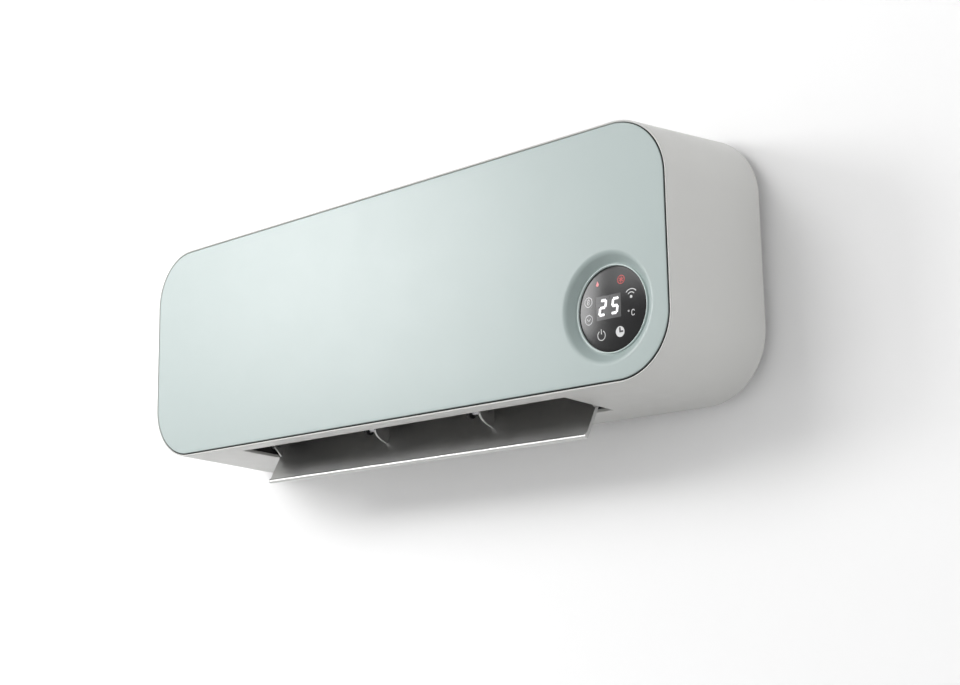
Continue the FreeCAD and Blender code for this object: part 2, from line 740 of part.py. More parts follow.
def fan_rotor():
    """Cross-flow impeller: four discs and a ring of long blades."""
    rotor = new_body("fan_rotor")
    for step in range(4):
        spot = f"-dims.fan_half + {step} * (2 * dims.fan_half - dims.disc_thick) / 3"
        disc = body_sketch(rotor, f"disc_{step + 1}", "YZ", spot)
        draw_circle(disc, "0", "0", "dims.fan_radius - 0.4")
        if step in (1, 2):
            draw_circle(disc, "0", "0", "dims.fan_radius - dims.blade_depth - 1")
        pad(rotor, disc, "dims.disc_thick")
    blade = body_sketch(rotor, "blade", "YZ", "-dims.fan_half")
    draw_polygon(blade, [
        ("dims.fan_radius - dims.blade_depth", "0"),
        ("dims.fan_radius - dims.blade_depth / 2", "1.6"),
        ("dims.fan_radius", "4.2"),
        ("dims.fan_radius", "4.2 + dims.blade_thick"),
        ("dims.fan_radius - dims.blade_depth / 2", "1.6 + dims.blade_thick"),
        ("dims.fan_radius - dims.blade_depth", "dims.blade_thick"),
    ])
    first = pad(rotor, blade, "2 * dims.fan_half")
    DOC.recompute()
    ring = rotor.newObject("PartDesign::PolarPattern", "blade_ring")
    ring.Originals = [first]
    ring.Axis = (blade, ["N_Axis"])
    ring.Angle = 360
    bind(ring, Occurrences="dims.blade_count")
    rotor.Tip = ring
    for label, spot in (("left", "-dims.fan_half"), ("right", "dims.fan_half - dims.disc_thick")):
        bore = body_sketch(rotor, f"hub_bore_{label}", "YZ", spot)
        draw_circle(bore, "0", "0", "dims.hub_radius")
        pocket(rotor, bore, "dims.disc_thick", backwards=True)
    stand_at(rotor, ("0", "dims.fan_y", "dims.fan_z"))
    node("fan_rotor", rotor)


def fan_drive():
    """Hubs, motor shaft and stub shaft, which turn with the fan."""
    y, z = "dims.fan_y", "dims.fan_z"
    hubs = [
        cut("fan_hub", rod("hub_block", "X", (start, y, z), "dims.hub_radius", "dims.hub_length"),
            [rod("hub_hole", "X", (f"{start} - 1", y, z), "dims.shaft_radius", "dims.hub_length + 2")])
        for start in ("-dims.fan_half", "dims.fan_half - dims.hub_length")
    ]
    node("fan_hubs", group("fan_hubs", hubs))
    shaft_end = "-dims.duct_half - dims.duct_wall - dims.motor_gap"
    node("motor_shaft", rod(
        "motor_shaft", "X", (f"{shaft_end} - dims.motor_length + 4", y, z), "dims.shaft_radius",
        f"-dims.fan_half + dims.hub_length - ({shaft_end}) + dims.motor_length - 4",
    ))
    node("stub_shaft", rod(
        "stub_shaft", "X", ("dims.fan_half - dims.hub_length", y, z),
        "dims.shaft_radius", "dims.hub_length + 15",
    ))


def fan_support():
    """Motor with its bracket and rubber rings on the left, bearing in its rubber seat on the right."""
    y, z = "dims.fan_y", "dims.fan_z"
    left = "-dims.duct_half - dims.duct_wall"
    front = f"{left} - dims.motor_gap"
    can = rod(
        "motor_can", "X", (f"{front} - dims.motor_length", y, z), "dims.motor_radius", "dims.motor_length",
    )
    nose = rod("motor_nose", "X", (front, y, z), 7, 4)
    bore = rod(
        "motor_bore", "X", (f"{front} - dims.motor_length + 2", y, z),
        "dims.shaft_radius + dims.running_gap", "dims.motor_length + 10",
    )
    node("fan_motor", cut("fan_motor", fuse("motor_whole", [can, nose]), [bore]))

    rings = []
    for start in (f"{front} - 6", f"{front} - dims.motor_length + 2"):
        rubber = rod("rubber_outer", "X", (start, y, z), "dims.motor_radius + 2", 4)
        rings.append(cut(
            "motor_ring", rubber, [rod("rubber_hole", "X", (f"{start} - 1", y, z), "dims.motor_radius", 6)],
        ))
    node("motor_rings", group("motor_rings", rings))

    tube_length = "dims.motor_gap + dims.motor_length - 4"
    tube = rod("bracket_tube", "X", (f"{left} - ({tube_length})", y, z), "dims.motor_radius + 4", tube_length)
    hollow = rod(
        "bracket_hollow", "X", (f"{left} - ({tube_length}) - 1", y, z), "dims.motor_radius + 2",
        f"{tube_length} + 2",
    )
    window = box("bracket_window", (f"{left} - dims.motor_gap + 1", f"{y} - 15", f"{z} - 40"),
                 ("dims.motor_gap - 5", 30, 80))
    flange = box("bracket_flange", (f"{left} - 2", f"{y} - 27", f"{z} - 32"), (2, 54, 64))
    opening = rod("flange_opening", "X", (f"{left} - 3", y, z), "dims.motor_radius + 2", 4)
    node(
        "motor_bracket",
        cut("motor_bracket", fuse("bracket_whole", [tube, flange]), [hollow, window, opening]),
    )

    seat = rod("seat_outer", "X", ("dims.duct_half", y, z), 10, 8)
    node(
        "bearing_seat",
        cut("bearing_seat", seat, [rod("seat_hole", "X", ("dims.duct_half - 1", y, z), 6, 10)]),
    )
    bush = rod("bush_outer", "X", ("dims.duct_half", y, z), 6, 8)
    bush_hole = rod(
        "bush_hole", "X", ("dims.duct_half - 1", y, z), "dims.shaft_radius + dims.running_gap", 10,
    )
    node("bearing_bush", cut("bearing_bush", bush, [bush_hole]))


# ---------------------------------------------------------------- heating element


def heating_element():
    """Aluminium fins on two ceramic cores, held in heat-proof end blocks."""
    length = "2 * dims.heater_half"
    front, low, high = "dims.heater_y", "dims.heater_z", "dims.heater_height"
    spread = "(dims.heater_width - 2 * dims.core_width) / 3"
    core_y = [f"{front} + ({step + 1}) * ({spread}) + {step} * dims.core_width" for step in range(2)]
    cores = [
        box(
            "ceramic_core", ("-dims.heater_half - 6", y, f"{low} + 1"),
            (f"{length} + 12", "dims.core_width", f"{high} - 2"),
        )
        for y in core_y
    ]
    node("heater_cores", group("heater_cores", cores))

    fins = new_body("heater_fins")
    rails = body_sketch(fins, "fin_rails", "YZ", "-dims.heater_half")
    rail_y = ["0", f"{spread} - 1", f"{spread} + dims.core_width", f"2 * ({spread}) + dims.core_width - 1",
              f"2 * ({spread}) + 2 * dims.core_width", "dims.heater_width - 1"]
    for y in rail_y:
        draw_rectangle(rails, y, f"{y} + 1", "0", high)
    pad(fins, rails, length)
    for step in range(3):
        fin = body_sketch(fins, f"fin_{step + 1}", "YZ", "-dims.heater_half")
        start = f"{step} * ({spread} + dims.core_width)"
        draw_rectangle(fin, f"{start} + 0.5", f"{start} + {spread} - 0.5", "0", high)
        first = pad(fins, fin, "dims.fin_thick")
        DOC.recompute()
        row = fins.newObject("PartDesign::LinearPattern", f"fin_row_{step + 1}")
        row.Originals = [first]
        row.Direction = (fin, ["N_Axis"])
        bind(
            row, Length=f"{length} - dims.fin_thick",
            Occurrences="2 * dims.heater_half / dims.fin_pitch + 1",
        )
        fins.Tip = row
    stand_at(fins, ("0", front, low))
    node("heater_fins", fins)

    blocks = []
    for start in ("-dims.heater_half - 14", "dims.heater_half + 1"):
        block = box(
            "end_block", (start, f"{front} - 1", f"{low} - 1"),
            (13, "dims.heater_width + 2", f"{high} + 2"),
        )
        slots = [
            box(
                "core_slot", (f"{start} - 20", y, f"{low} + 1"), (60, "dims.core_width", f"{high} - 2"),
            ) for y in core_y
        ]
        tab_slots = [
            box(
                "tab_slot", ("dims.heater_half + 5", f"{y} + 0.9", f"{low} + 3.9"), (30, 1.2, 6.6),
            ) for y in core_y
        ]
        held = common("slots_held", [fuse("slots", slots), core_reach()])
        blocks.append(cut("end_block_cut", block, [held] + tab_slots))
    node("heater_end_blocks", group("heater_end_blocks", blocks))

    tabs = [
        box("terminal_tab", ("dims.heater_half + 6", f"{y} + 1", f"{low} + 4"), (18, 1, 6.4)) for y in core_y
    ]
    node("heater_terminals", group("heater_terminals", tabs))

    y, z = "dims.fan_y", "-26"
    start = "dims.duct_half + dims.duct_wall"
    disc = rod("cutout_body", "X", (start, y, z), 8, 7)
    ears = box("cutout_ears", (start, f"{y} - 13", f"{z} - 3.5"), (1, 26, 7))
    node("thermal_cutout", fuse("thermal_cutout", [disc, ears]))


def core_reach():
    """The part of the end blocks that the ceramic cores fill."""
    return box("core_reach", ("-dims.heater_half - 6", "-dims.depth", "-dims.depth"),
               ("2 * dims.heater_half + 12", "dims.depth", "dims.depth"))


# ---------------------------------------------------------------- flap


def flap_turn():
    """Closed, the flap lies in the sloping underside; as shown it has swung down by flap_open."""
    return Rotation(Vector(1, 0, 0), size("flap_open") - size("underside_slope"))


def flap():
    """Air flap with four lugs, drawn closed with its pivot at the origin and then swung open."""
    plate = new_body("flap_plate")
    profile = body_sketch(plate, "flap_profile", "YZ", "-dims.flap_half")
    draw_polygon(profile, [
        ("-dims.flap_ahead", "-dims.flap_drop"),
        ("-dims.flap_ahead + 0.6", "-dims.flap_drop - dims.flap_edge_thick"),
        ("dims.flap_behind - 1", "-dims.flap_drop - dims.flap_root_thick"),
        ("dims.flap_behind", "-dims.flap_drop - 0.8"),
        ("dims.flap_behind - 0.6", "-dims.flap_drop"),
    ])
    pad(plate, profile, "2 * dims.flap_half")
    end_web = [
        ("-dims.lug_radius", "0"),
        ("-dims.lug_radius - 2.5", "-dims.flap_drop - 0.5"),
        ("dims.flap_behind - 4", "-dims.flap_drop - 0.5"),
        ("dims.lug_radius + 3", "-dims.flap_drop + 2.4"),
        ("dims.lug_radius", "0"),
    ]
    middle_web = [
        ("-dims.lug_reach + 0.7", "-dims.flap_drop - 0.5"),
        ("-3", "-dims.flap_drop - 0.5"),
        ("1.6", "-dims.lug_radius"),
        ("dims.lug_radius", "-1"),
        ("dims.lug_radius", "4.6"),
        ("0.6", "dims.lug_rise - 0.4"),
        ("-3.4", "dims.lug_rise"),
        ("-7", "dims.lug_rise - 0.9"),
        ("-dims.lug_reach + 0.8", "4.6"),
        ("-dims.lug_reach", "1"),
        ("-dims.lug_reach", "-2"),
    ]
    lugs = [
        ("-dims.flap_half", end_web),
        ("dims.lug_left_x", middle_web),
        ("dims.lug_right_x", middle_web),
        ("dims.flap_half - dims.lug_thick", end_web),
    ]
    for number, (start, outline) in enumerate(lugs, start=1):
        web = body_sketch(plate, f"lug_web_{number}", "YZ", start)
        draw_polygon(web, outline)
        pad(plate, web, "dims.lug_thick")
        eye = body_sketch(plate, f"lug_eye_{number}", "YZ", start)
        draw_circle(eye, "0", "0", "dims.lug_radius")
        pad(plate, eye, "dims.lug_thick")
    holes = body_sketch(plate, "pin_holes", "YZ", "-dims.flap_half")
    draw_circle(holes, "0", "0", "dims.pin_radius")
    pocket(plate, holes, "2 * dims.flap_half", backwards=True)
    plate.Placement = Placement(Vector(), flap_turn())
    stand_at(plate, ("0", "dims.pivot_y", "dims.pivot_z"))
    node("flap", plate)

    pins = [rod(
        "end_pin", "X", ("-dims.duct_half - dims.duct_wall", "dims.pivot_y", "dims.pivot_z"),
        "dims.pin_radius", "dims.duct_half + dims.duct_wall - dims.flap_half + dims.lug_thick",
    )]
    for lug in ("dims.lug_left_x", "dims.lug_right_x"):
        pins.append(rod(
            "middle_pin", "X", (f"{lug} - dims.hanger_offset - 1", "dims.pivot_y", "dims.pivot_z"),
            "dims.pin_radius", "dims.hanger_offset + 1 + dims.lug_thick",
        ))
    node("flap_pins", group("flap_pins", pins))
    sleeve = rod("pin_sleeve", "X", ("-dims.duct_half - dims.duct_wall", "dims.pivot_y", "dims.pivot_z"),
                 "dims.stepper_shaft", "dims.duct_wall + dims.duct_half - dims.flap_half - 0.2")
    sleeve_hole = rod(
        "sleeve_hole", "X", ("-dims.duct_half - 9", "dims.pivot_y", "dims.pivot_z"), "dims.pin_radius", 20,
    )
    node("flap_sleeve", cut("flap_sleeve", sleeve, [sleeve_hole]))

    key = rod("shaft_key", "X", ("dims.flap_half - dims.lug_thick", "dims.pivot_y", "dims.pivot_z"),
              "dims.pin_radius", "dims.lug_thick")
    shaft = rod("shaft_rod", "X", ("dims.flap_half", "dims.pivot_y", "dims.pivot_z"), "dims.stepper_shaft",
                "dims.duct_half - dims.flap_half + dims.duct_wall + 8")
    node("flap_motor_shaft", fuse("flap_motor_shaft", [key, shaft]))

    start = "dims.duct_half + dims.duct_wall"
    centre = ("dims.pivot_y", "dims.pivot_z + dims.stepper_rise")
    can = rod("stepper_can", "X", (start, *centre), "dims.stepper_radius", "dims.stepper_length")
    ears = box("stepper_ears", (start, f"{centre[0]} - 17", f"{centre[1]} - 3.5"), (1, 34, 7))
    bore = rod("stepper_bore", "X", (f"{start} - 1", "dims.pivot_y", "dims.pivot_z"),
               "dims.stepper_shaft + dims.running_gap", 10)
    node("flap_motor", cut("flap_motor", fuse("stepper_whole", [can, ears]), [bore]))


# ---------------------------------------------------------------- intake


def intake_grille():
    """Slatted cover of the intake, which lifts off upwards with the dust filter below it."""
    half = "dims.intake_half - dims.intake_fit"
    width = "dims.intake_rear - dims.intake_front - 2 * dims.intake_fit"
    thick = "dims.grille_thick"
    plate = box("grille_plate", (f"-({half})", "0", "0"), (f"2 * ({half})", width, thick))
    hole = box(
        "grille_hole", (f"-({half}) + 5", "5", "-1"),
        (f"2 * ({half}) - 10", f"{width} - 10", f"{thick} + 2"),
    )
    frame = cut("grille_frame", plate, [hole])
    pitch = f"({width} - 10) / (dims.slat_count + 1)"
    slats = [
        box("grille_slat", (f"-({half}) + 4", f"5 + {step + 1} * ({pitch}) - dims.slat_width / 2", "0"),
            (f"2 * ({half}) - 8", "dims.slat_width", thick))
        for step in range(int(size("slat_count")))
    ]
    ribs = [
        box("grille_rib", (f"-({half}) + {step} * ({half}) / 4 - 1", "4", "0"), (2, f"{width} - 8", 1.6))
        for step in range(1, 8)
    ]
    grille = fuse("intake_grille", [frame] + slats + ribs)
    grille.Placement = Placement(Vector(), Rotation(Vector(1, 0, 0), size("underside_slope")))
    stand_at(
        grille,
        ("0", "dims.intake_front + dims.intake_fit + 0.2", "dims.intake_top - 1.9 - dims.grille_thick"),
    )
    node("intake_grille", grille)

    filter_frame = box("filter_outer", ("-178", "8", "-2.4"), (356, f"{width} - 16", 2.2))
    filter_hole = box("filter_window", ("-174", "12", "-3"), (348, f"{width} - 24", 4))
    net = box("filter_net", ("-175", "11", "-1.6"), (350, f"{width} - 22", 0.6))
    mesh = fuse("filter_mesh", [cut("filter_frame", filter_frame, [filter_hole]), net])
    mesh.Placement = grille.Placement
    stand_at(
        mesh,
        ("0", "dims.intake_front + dims.intake_fit + 0.2", "dims.intake_top - 1.9 - dims.grille_thick"),
    )
    node("dust_filter", mesh)


# ---------------------------------------------------------------- electronics


def control_board():
    """Power board behind the display, with the parts that stand on it."""
    width, height = "dims.board_right - dims.board_left", "dims.board_high - dims.board_low"
    front = "dims.board_y - dims.board_thick"
    plate = box(
        "board_plate", ("dims.board_left", front, "dims.board_low"), (width, "dims.board_thick", height),
    )
    holes = [rod("board_hole", "Y", (x, f"{front} - 1", z), 1.8, 4) for x, z in board_corners()]
    node("control_board", cut("control_board", plate, holes))

    def block(label, left, low, wide, deep, tall):
        return box(
            label, (f"dims.board_left + {left}", f"{front} - {deep}", f"dims.board_low + {low}"),
            (wide, deep, tall),
        )

    node("relays", group("relays", [block("relay", 14 + 22 * step, 92, 18, 15, 16) for step in range(2)]))
    node("transformer", block("transformer", 12, 60, 26, 20, 22))
    node("suppressor", block("suppressor", 44, 62, 12, 14, 20))
    node("terminal_block", block("terminal_block", 14, 14, 40, 12, 12))
    node("radio_module", block("radio_module", 40, 36, 16, 3, 20))
    buzzer = rod("buzzer", "Y", ("dims.board_left + 24", f"{front} - 8", "dims.board_low + 44"), 6, 8)
    node("buzzer", buzzer)

    bead = rod("sensor_bead", "Z", ("200", "-20", "70"), 2, 7)
    clip = box("sensor_clip", ("196", "-24", "66"), (8, 8, 5))
    node("room_sensor", fuse("room_sensor", [bead, clip]))


def power_switch():
    """Rocker switch in the left side: housing with its rim, and the rocker on its pin."""
    y, z = "dims.switch_y", "dims.switch_z"
    case = box("switch_case", (0, -6.4, -9.4), (16, 12.8, 18.8))
    rim = box("switch_rim", (-1.6, -8, -11), (1.6, 16, 22))
    well = box("switch_well", (-3, -5.2, -8.2), (12, 10.4, 16.4))
    bore = rod("switch_bore", "Y", (0.8, -6.2, 0), "dims.rocker_pin + dims.running_gap", 12.4)
    body = cut("switch_housing", fuse("switch_whole", [case, rim]), [well, bore])
    node("switch_body", on_left_side("switch_body", body, y, z))

    rocker = new_body("rocker_block")
    face = body_sketch(rocker, "rocker_profile", "XZ", "-4.8")
    draw_polygon(face, [
        ("-3.4", "7.6"), ("-2.2", "0"), ("-3.4", "-7.6"),
        ("0.6", "-7.2"), ("4.2", "-2.5"), ("4.2", "2.5"), ("0.6", "7.2"),
    ])
    pad(rocker, face, "9.6")
    pin = rod("rocker_pin", "Y", (0, -6, 0), "dims.rocker_pin", 12)
    tilted = fuse("rocker_tilted", [rocker, pin])
    tilted.Placement = Placement(Vector(0.8, 0, 0), Rotation(Vector(0, 1, 0), -size("switch_tilt")))
    node("switch_rocker", on_left_side("switch_rocker", tilted, y, z))


def cable_gland():
    """Inlet of the mains lead, low on the left side."""
    tube = rod("gland_tube", "X", (0, 0, 0), "dims.gland_radius", "dims.gland_length")
    flange = rod(
        "gland_flange", "X", ("-dims.gland_flange", 0, 0), "dims.gland_radius + 1.8", "dims.gland_flange",
    )
    nut = rod("gland_nut", "X", ("dims.skin + 0.2", 0, 0), "dims.gland_radius + 2", 3)
    bore = rod("gland_bore", "X", (-3, 0, 0), "dims.gland_bore", 30)
    body = cut("gland_body", fuse("gland_whole", [tube, flange, nut]), [bore])
    node("cable_gland", on_left_side("cable_gland", body, "dims.gland_y", "dims.gland_z"))


# ---------------------------------------------------------------- fasteners


def screw(name, x, head_rear, z, length="dims.screw_length"):
    """A pan-head screw driven in from the rear."""
    head = rod(name + "_head", "Y", (x, head_rear, z), "dims.screw_head", 2.4)
    shank = rod(
        name + "_shank", "Y", (x, f"{head_rear} - ({length})", z), "dims.screw_shank", f"{length} + 1",
    )
    slot = rod(name + "_drive", "Y", (x, f"{head_rear} + 1.2", z), 1.2, 2)
    return cut(name, fuse(name + "_blank", [head, shank]), [slot])


def fasteners():
    corners = [screw("cover_screw", x, "-dims.well_depth", z) for x, z in casing_corners()]
    node("cover_screws", group("cover_screws", corners))
    duct = [
        screw("duct_screw", f"{side} * dims.duct_screw_x", "-dims.well_depth", "dims.duct_screw_z")
        for side in (-1, 1)
    ]
    node("duct_screws", group("duct_screws", duct))
    small = []
    for x, z in board_corners():
        front = "dims.board_y - dims.board_thick"
        head = rod("board_screw_head", "Y", (x, f"{front} - 1.8", z), 2.8, 1.8)
        shank = rod("board_screw_shank", "Y", (x, f"{front} - 1", z), 1.2, 9)
        small.append(fuse("board_screw", [head, shank]))
    node("board_screws", group("board_screws", small))


# ---------------------------------------------------------------- output


def check():
    """Stop before anything is written if a feature failed or a shape is not sound."""
    DOC.recompute()
    for item in DOC.Objects:
        if "Invalid" in item.State or "Error" in item.State:
            raise RuntimeError(f"{item.Name} ({item.Label}) failed: {item.State}")
    for label, item in NODES.items():
        shape = item.Shape
        if shape.isNull() or not shape.isValid() or not shape.Solids:
            raise RuntimeError(f"{label} has no sound solid")


def write_steps():
    os.makedirs("parts", exist_ok=True)
    for label, item in NODES.items():
        item.Shape.exportStep(f"parts/{label}.step")


fill_sheet()
casing()
rear_cover()
front_panel()
display()
rear_duct()
front_duct()
duct_ends()
outlet_guard()
fan_rotor()
fan_drive()
fan_support()
heating_element()
flap()
intake_grille()
control_board()
power_switch()
cable_gland()
fasteners()
check()
write_steps()
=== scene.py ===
"""Wall-mounted fan convector heater: the looks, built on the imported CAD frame. Lengths are in millimetres in
this script and become metres when a mesh is made. +X is the viewer's right, -Y the room, +Z up."""
import json
import math

import bmesh
import bpy
from mathutils import Matrix, Vector

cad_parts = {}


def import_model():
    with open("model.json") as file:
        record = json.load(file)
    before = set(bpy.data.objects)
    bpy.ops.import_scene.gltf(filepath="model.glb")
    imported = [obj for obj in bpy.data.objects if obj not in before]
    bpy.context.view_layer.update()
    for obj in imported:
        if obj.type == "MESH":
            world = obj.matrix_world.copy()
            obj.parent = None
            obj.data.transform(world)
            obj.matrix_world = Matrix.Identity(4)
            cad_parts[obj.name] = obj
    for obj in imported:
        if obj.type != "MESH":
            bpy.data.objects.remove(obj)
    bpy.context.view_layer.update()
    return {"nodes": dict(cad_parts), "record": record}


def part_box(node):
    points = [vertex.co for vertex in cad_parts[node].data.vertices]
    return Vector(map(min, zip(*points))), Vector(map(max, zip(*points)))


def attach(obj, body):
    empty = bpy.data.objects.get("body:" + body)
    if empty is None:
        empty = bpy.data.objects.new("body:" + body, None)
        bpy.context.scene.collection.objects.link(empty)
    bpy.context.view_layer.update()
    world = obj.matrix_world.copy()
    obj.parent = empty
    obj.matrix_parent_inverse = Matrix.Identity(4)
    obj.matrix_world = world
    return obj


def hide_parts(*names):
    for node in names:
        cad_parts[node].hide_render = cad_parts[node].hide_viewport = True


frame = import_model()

MM = 0.001
NODES = frame["nodes"]
HOUSING, FLAP = "housing", "flap"


def node_box(name):
    """Lowest and highest corner of a CAD node, in millimetres."""
    low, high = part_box(name)
    return Vector(low) / MM, Vector(high) / MM


# ---------------------------------------------------------------- sizes taken from the frame

CASING_LOW, CASING_HIGH = node_box("casing")
PANEL_HIGH = node_box("front_panel")[1]
LENS_LOW, LENS_HIGH = node_box("display_lens")
RING_LOW = node_box("display_ring")[0]
FLAP_HIGH = node_box("flap")[1]

DEPTH = -CASING_LOW.y
REAR_HALF_WIDTH, REAR_HALF_HEIGHT = CASING_HIGH.x, CASING_HIGH.z
DIAL_X, DIAL_Z = (LENS_LOW.x + LENS_HIGH.x) / 2, (LENS_LOW.z + LENS_HIGH.z) / 2
LENS_RADIUS = (LENS_HIGH.x - LENS_LOW.x) / 2


# ---------------------------------------------------------------- sizes of the visible shapes

# The casing widens by FLARE on each side from its front edge to the wall. SKIN is its wall, and LIP the thickness
# of its lip round the panel.
FLARE = 6.0
FRONT_HALF_WIDTH, FRONT_HALF_HEIGHT = REAR_HALF_WIDTH - FLARE, REAR_HALF_HEIGHT - FLARE
FRONT_CORNER, REAR_CORNER = 42.0, 47.0
SKIN, LIP = 2.5, 1.35
LIP_ROUND, LIP_INNER_ROUND, REAR_ROUND = 0.45, 0.9, 1.2

# The panel lies PANEL_STEP deep in the casing's lip, and sits a little towards the upper left in its gap.
PANEL_STEP, PANEL_SHIFT = 3.3, 0.3
# A black strip of painted shade lines the gap round the panel, a little outside the panel's edge.
GAP_SHADE_CLEARANCE = 0.15
GAP_SHADE_INSET = FRONT_HALF_WIDTH - PANEL_HIGH.x - GAP_SHADE_CLEARANCE
PANEL_CORNER = FRONT_CORNER - GAP_SHADE_INSET

DISH_RADIUS, DISH_FLOOR_RADIUS, DISH_DEPTH = 35.0, 29.6, 5.9
DIAL_HOLE, DIAL_HOLE_END = 39.2, -80.0
LENS_DOME, LENS_SPREAD, RING_WIDTH = 1.1, 0.4, 1.1

# Marks on the lens: how far they stand out of it, how far they reach into it, and the figures' shape.
MARK_LIFT, MARK_ROOT = 0.05, -0.2
DIGIT_WIDTH, DIGIT_HEIGHT, DIGIT_SLANT, DIGIT_GAP = 4.3, 9.2, 0.186, 0.06

OUTLET_HALF, OUTLET_FRONT, OUTLET_REAR = 166.0, -80.0, -30.0
INTAKE_HALF, INTAKE_FRONT, INTAKE_REAR = 190.0, -72.0, -14.0
GLAND_HOLE = 6.6

# The flap's sections are drawn closed, about the pivot, and then turned to the angle that it has at rest.
PIVOT = Vector((0, -47.8, -78.4))
FLAP_TURN = 65.7 - 3.73
LUG_THICK, MIDDLE_LUGS = 1.8, (-39.0, 68.0)


# ---------------------------------------------------------------- materials


# The part of the range that a noise texture's values really fill, and the height of the finest relief in metres.
NOISE_LOW, NOISE_HIGH, RELIEF = 0.3, 0.7, 0.0004
CLOUD_SCALE, GLOSS_SCALE = 14, 70


def new_material(name):
    """An empty node material with one principled shader."""
    material = bpy.data.materials.new(name)
    material.use_nodes = True
    nodes = material.node_tree.nodes
    nodes.clear()
    output = nodes.new("ShaderNodeOutputMaterial")
    shader = nodes.new("ShaderNodeBsdfPrincipled")
    material.node_tree.links.new(shader.outputs["BSDF"], output.inputs["Surface"])
    return material, nodes, material.node_tree.links, shader


def noise(nodes, links, scale, detail, stretch=(1, 1, 1)):
    """Noise in the object's own frame, with about scale features per metre."""
    place = nodes.new("ShaderNodeTexCoord")
    spread = nodes.new("ShaderNodeMapping")
    spread.inputs["Scale"].default_value = stretch
    texture = nodes.new("ShaderNodeTexNoise")
    texture.inputs["Scale"].default_value = scale
    texture.inputs["Detail"].default_value = detail
    links.new(place.outputs["Object"], spread.inputs["Vector"])
    links.new(spread.outputs["Vector"], texture.inputs["Vector"])
    return texture.outputs["Fac"]


def ramp(nodes, links, value, low, high):
    """Maps 0..1 noise to a narrow range of numbers."""
    mapped = nodes.new("ShaderNodeMapRange")
    mapped.inputs["From Min"].default_value = NOISE_LOW
    mapped.inputs["From Max"].default_value = NOISE_HIGH
    mapped.inputs["To Min"].default_value = low
    mapped.inputs["To Max"].default_value = high
    links.new(value, mapped.inputs["Value"])
    return mapped.outputs["Result"]


def blend_colours(nodes, links, value, first, second):
    """Goes from the first colour to the second as the value goes from 0 to 1."""
    mix = nodes.new("ShaderNodeMix")
    mix.data_type = "RGBA"
    mix.inputs["A"].default_value = (*first, 1)
    mix.inputs["B"].default_value = (*second, 1)
    links.new(value, mix.inputs["Factor"])
    return mix.outputs["Result"]


def shade(name, colour, roughness, vary=0.04, grain=2600, bump=0.02, metallic=0.0, coat=0.0,
          stretch=(1, 1, 1), spread=0.05, coat_roughness=0.08, specular=0.5):
    """A moulded or metal surface: faint clouds of colour, a fine grain in its bump, and uneven gloss."""
    material, nodes, links, shader = new_material(name)
    dark = tuple(part * (1 - vary) for part in colour)
    pale = tuple(min(1.0, part * (1 + vary)) for part in colour)
    clouds = noise(nodes, links, CLOUD_SCALE, 4.0)
    links.new(blend_colours(nodes, links, clouds, dark, pale), shader.inputs["Base Color"])
    gloss = noise(nodes, links, GLOSS_SCALE, 5.0, stretch)
    links.new(ramp(nodes, links, gloss, roughness - spread, roughness + spread), shader.inputs["Roughness"])
    relief = nodes.new("ShaderNodeBump")
    relief.inputs["Strength"].default_value = bump
    relief.inputs["Distance"].default_value = RELIEF
    links.new(noise(nodes, links, grain, 2.0, stretch), relief.inputs["Height"])
    links.new(relief.outputs["Normal"], shader.inputs["Normal"])
    shader.inputs["Metallic"].default_value = metallic
    shader.inputs["Specular IOR Level"].default_value = specular
    shader.inputs["Coat Weight"].default_value = coat
    shader.inputs["Coat Roughness"].default_value = coat_roughness
    return material


def glowing(name, colour, strength):
    """A lit mark behind the lens, a little uneven across its area."""
    material, nodes, links, shader = new_material(name)
    patches = noise(nodes, links, 900, 2.0)
    soft = tuple(part * 0.85 for part in colour)
    tint = blend_colours(nodes, links, patches, soft, colour)
    links.new(tint, shader.inputs["Base Color"])
    links.new(tint, shader.inputs["Emission Color"])
    shader.inputs["Emission Strength"].default_value = strength
    shader.inputs["Roughness"].default_value = 0.4
    return material


def circuit_green(name):
    """Solder mask with tracks that show as slightly paler lines."""
    material, nodes, links, shader = new_material(name)
    place = nodes.new("ShaderNodeTexCoord")
    tracks = nodes.new("ShaderNodeTexBrick")
    tracks.inputs["Scale"].default_value = 180
    tracks.inputs["Color1"].default_value = (0.012, 0.10, 0.045, 1)
    tracks.inputs["Color2"].default_value = (0.015, 0.13, 0.055, 1)
    tracks.inputs["Mortar"].default_value = (0.03, 0.22, 0.09, 1)
    links.new(place.outputs["Object"], tracks.inputs["Vector"])
    links.new(tracks.outputs["Color"], shader.inputs["Base Color"])
    shader.inputs["Roughness"].default_value = 0.35
    return material


def net(name):
    """Woven dust filter: a fine square weave with open gaps."""
    material, nodes, links, shader = new_material(name)
    place = nodes.new("ShaderNodeTexCoord")
    weave = nodes.new("ShaderNodeTexBrick")
    weave.offset = 0.0
    weave.inputs["Scale"].default_value = 900
    weave.inputs["Brick Width"].default_value = 0.5
    weave.inputs["Row Height"].default_value = 0.5
    weave.inputs["Mortar Size"].default_value = 0.14
    weave.inputs["Color1"].default_value = (0.02, 0.02, 0.02, 1)
    weave.inputs["Color2"].default_value = (0.03, 0.03, 0.03, 1)
    weave.inputs["Mortar"].default_value = (0.30, 0.31, 0.32, 1)
    links.new(place.outputs["Object"], weave.inputs["Vector"])
    links.new(weave.outputs["Color"], shader.inputs["Base Color"])
    shader.inputs["Roughness"].default_value = 0.8
    return material


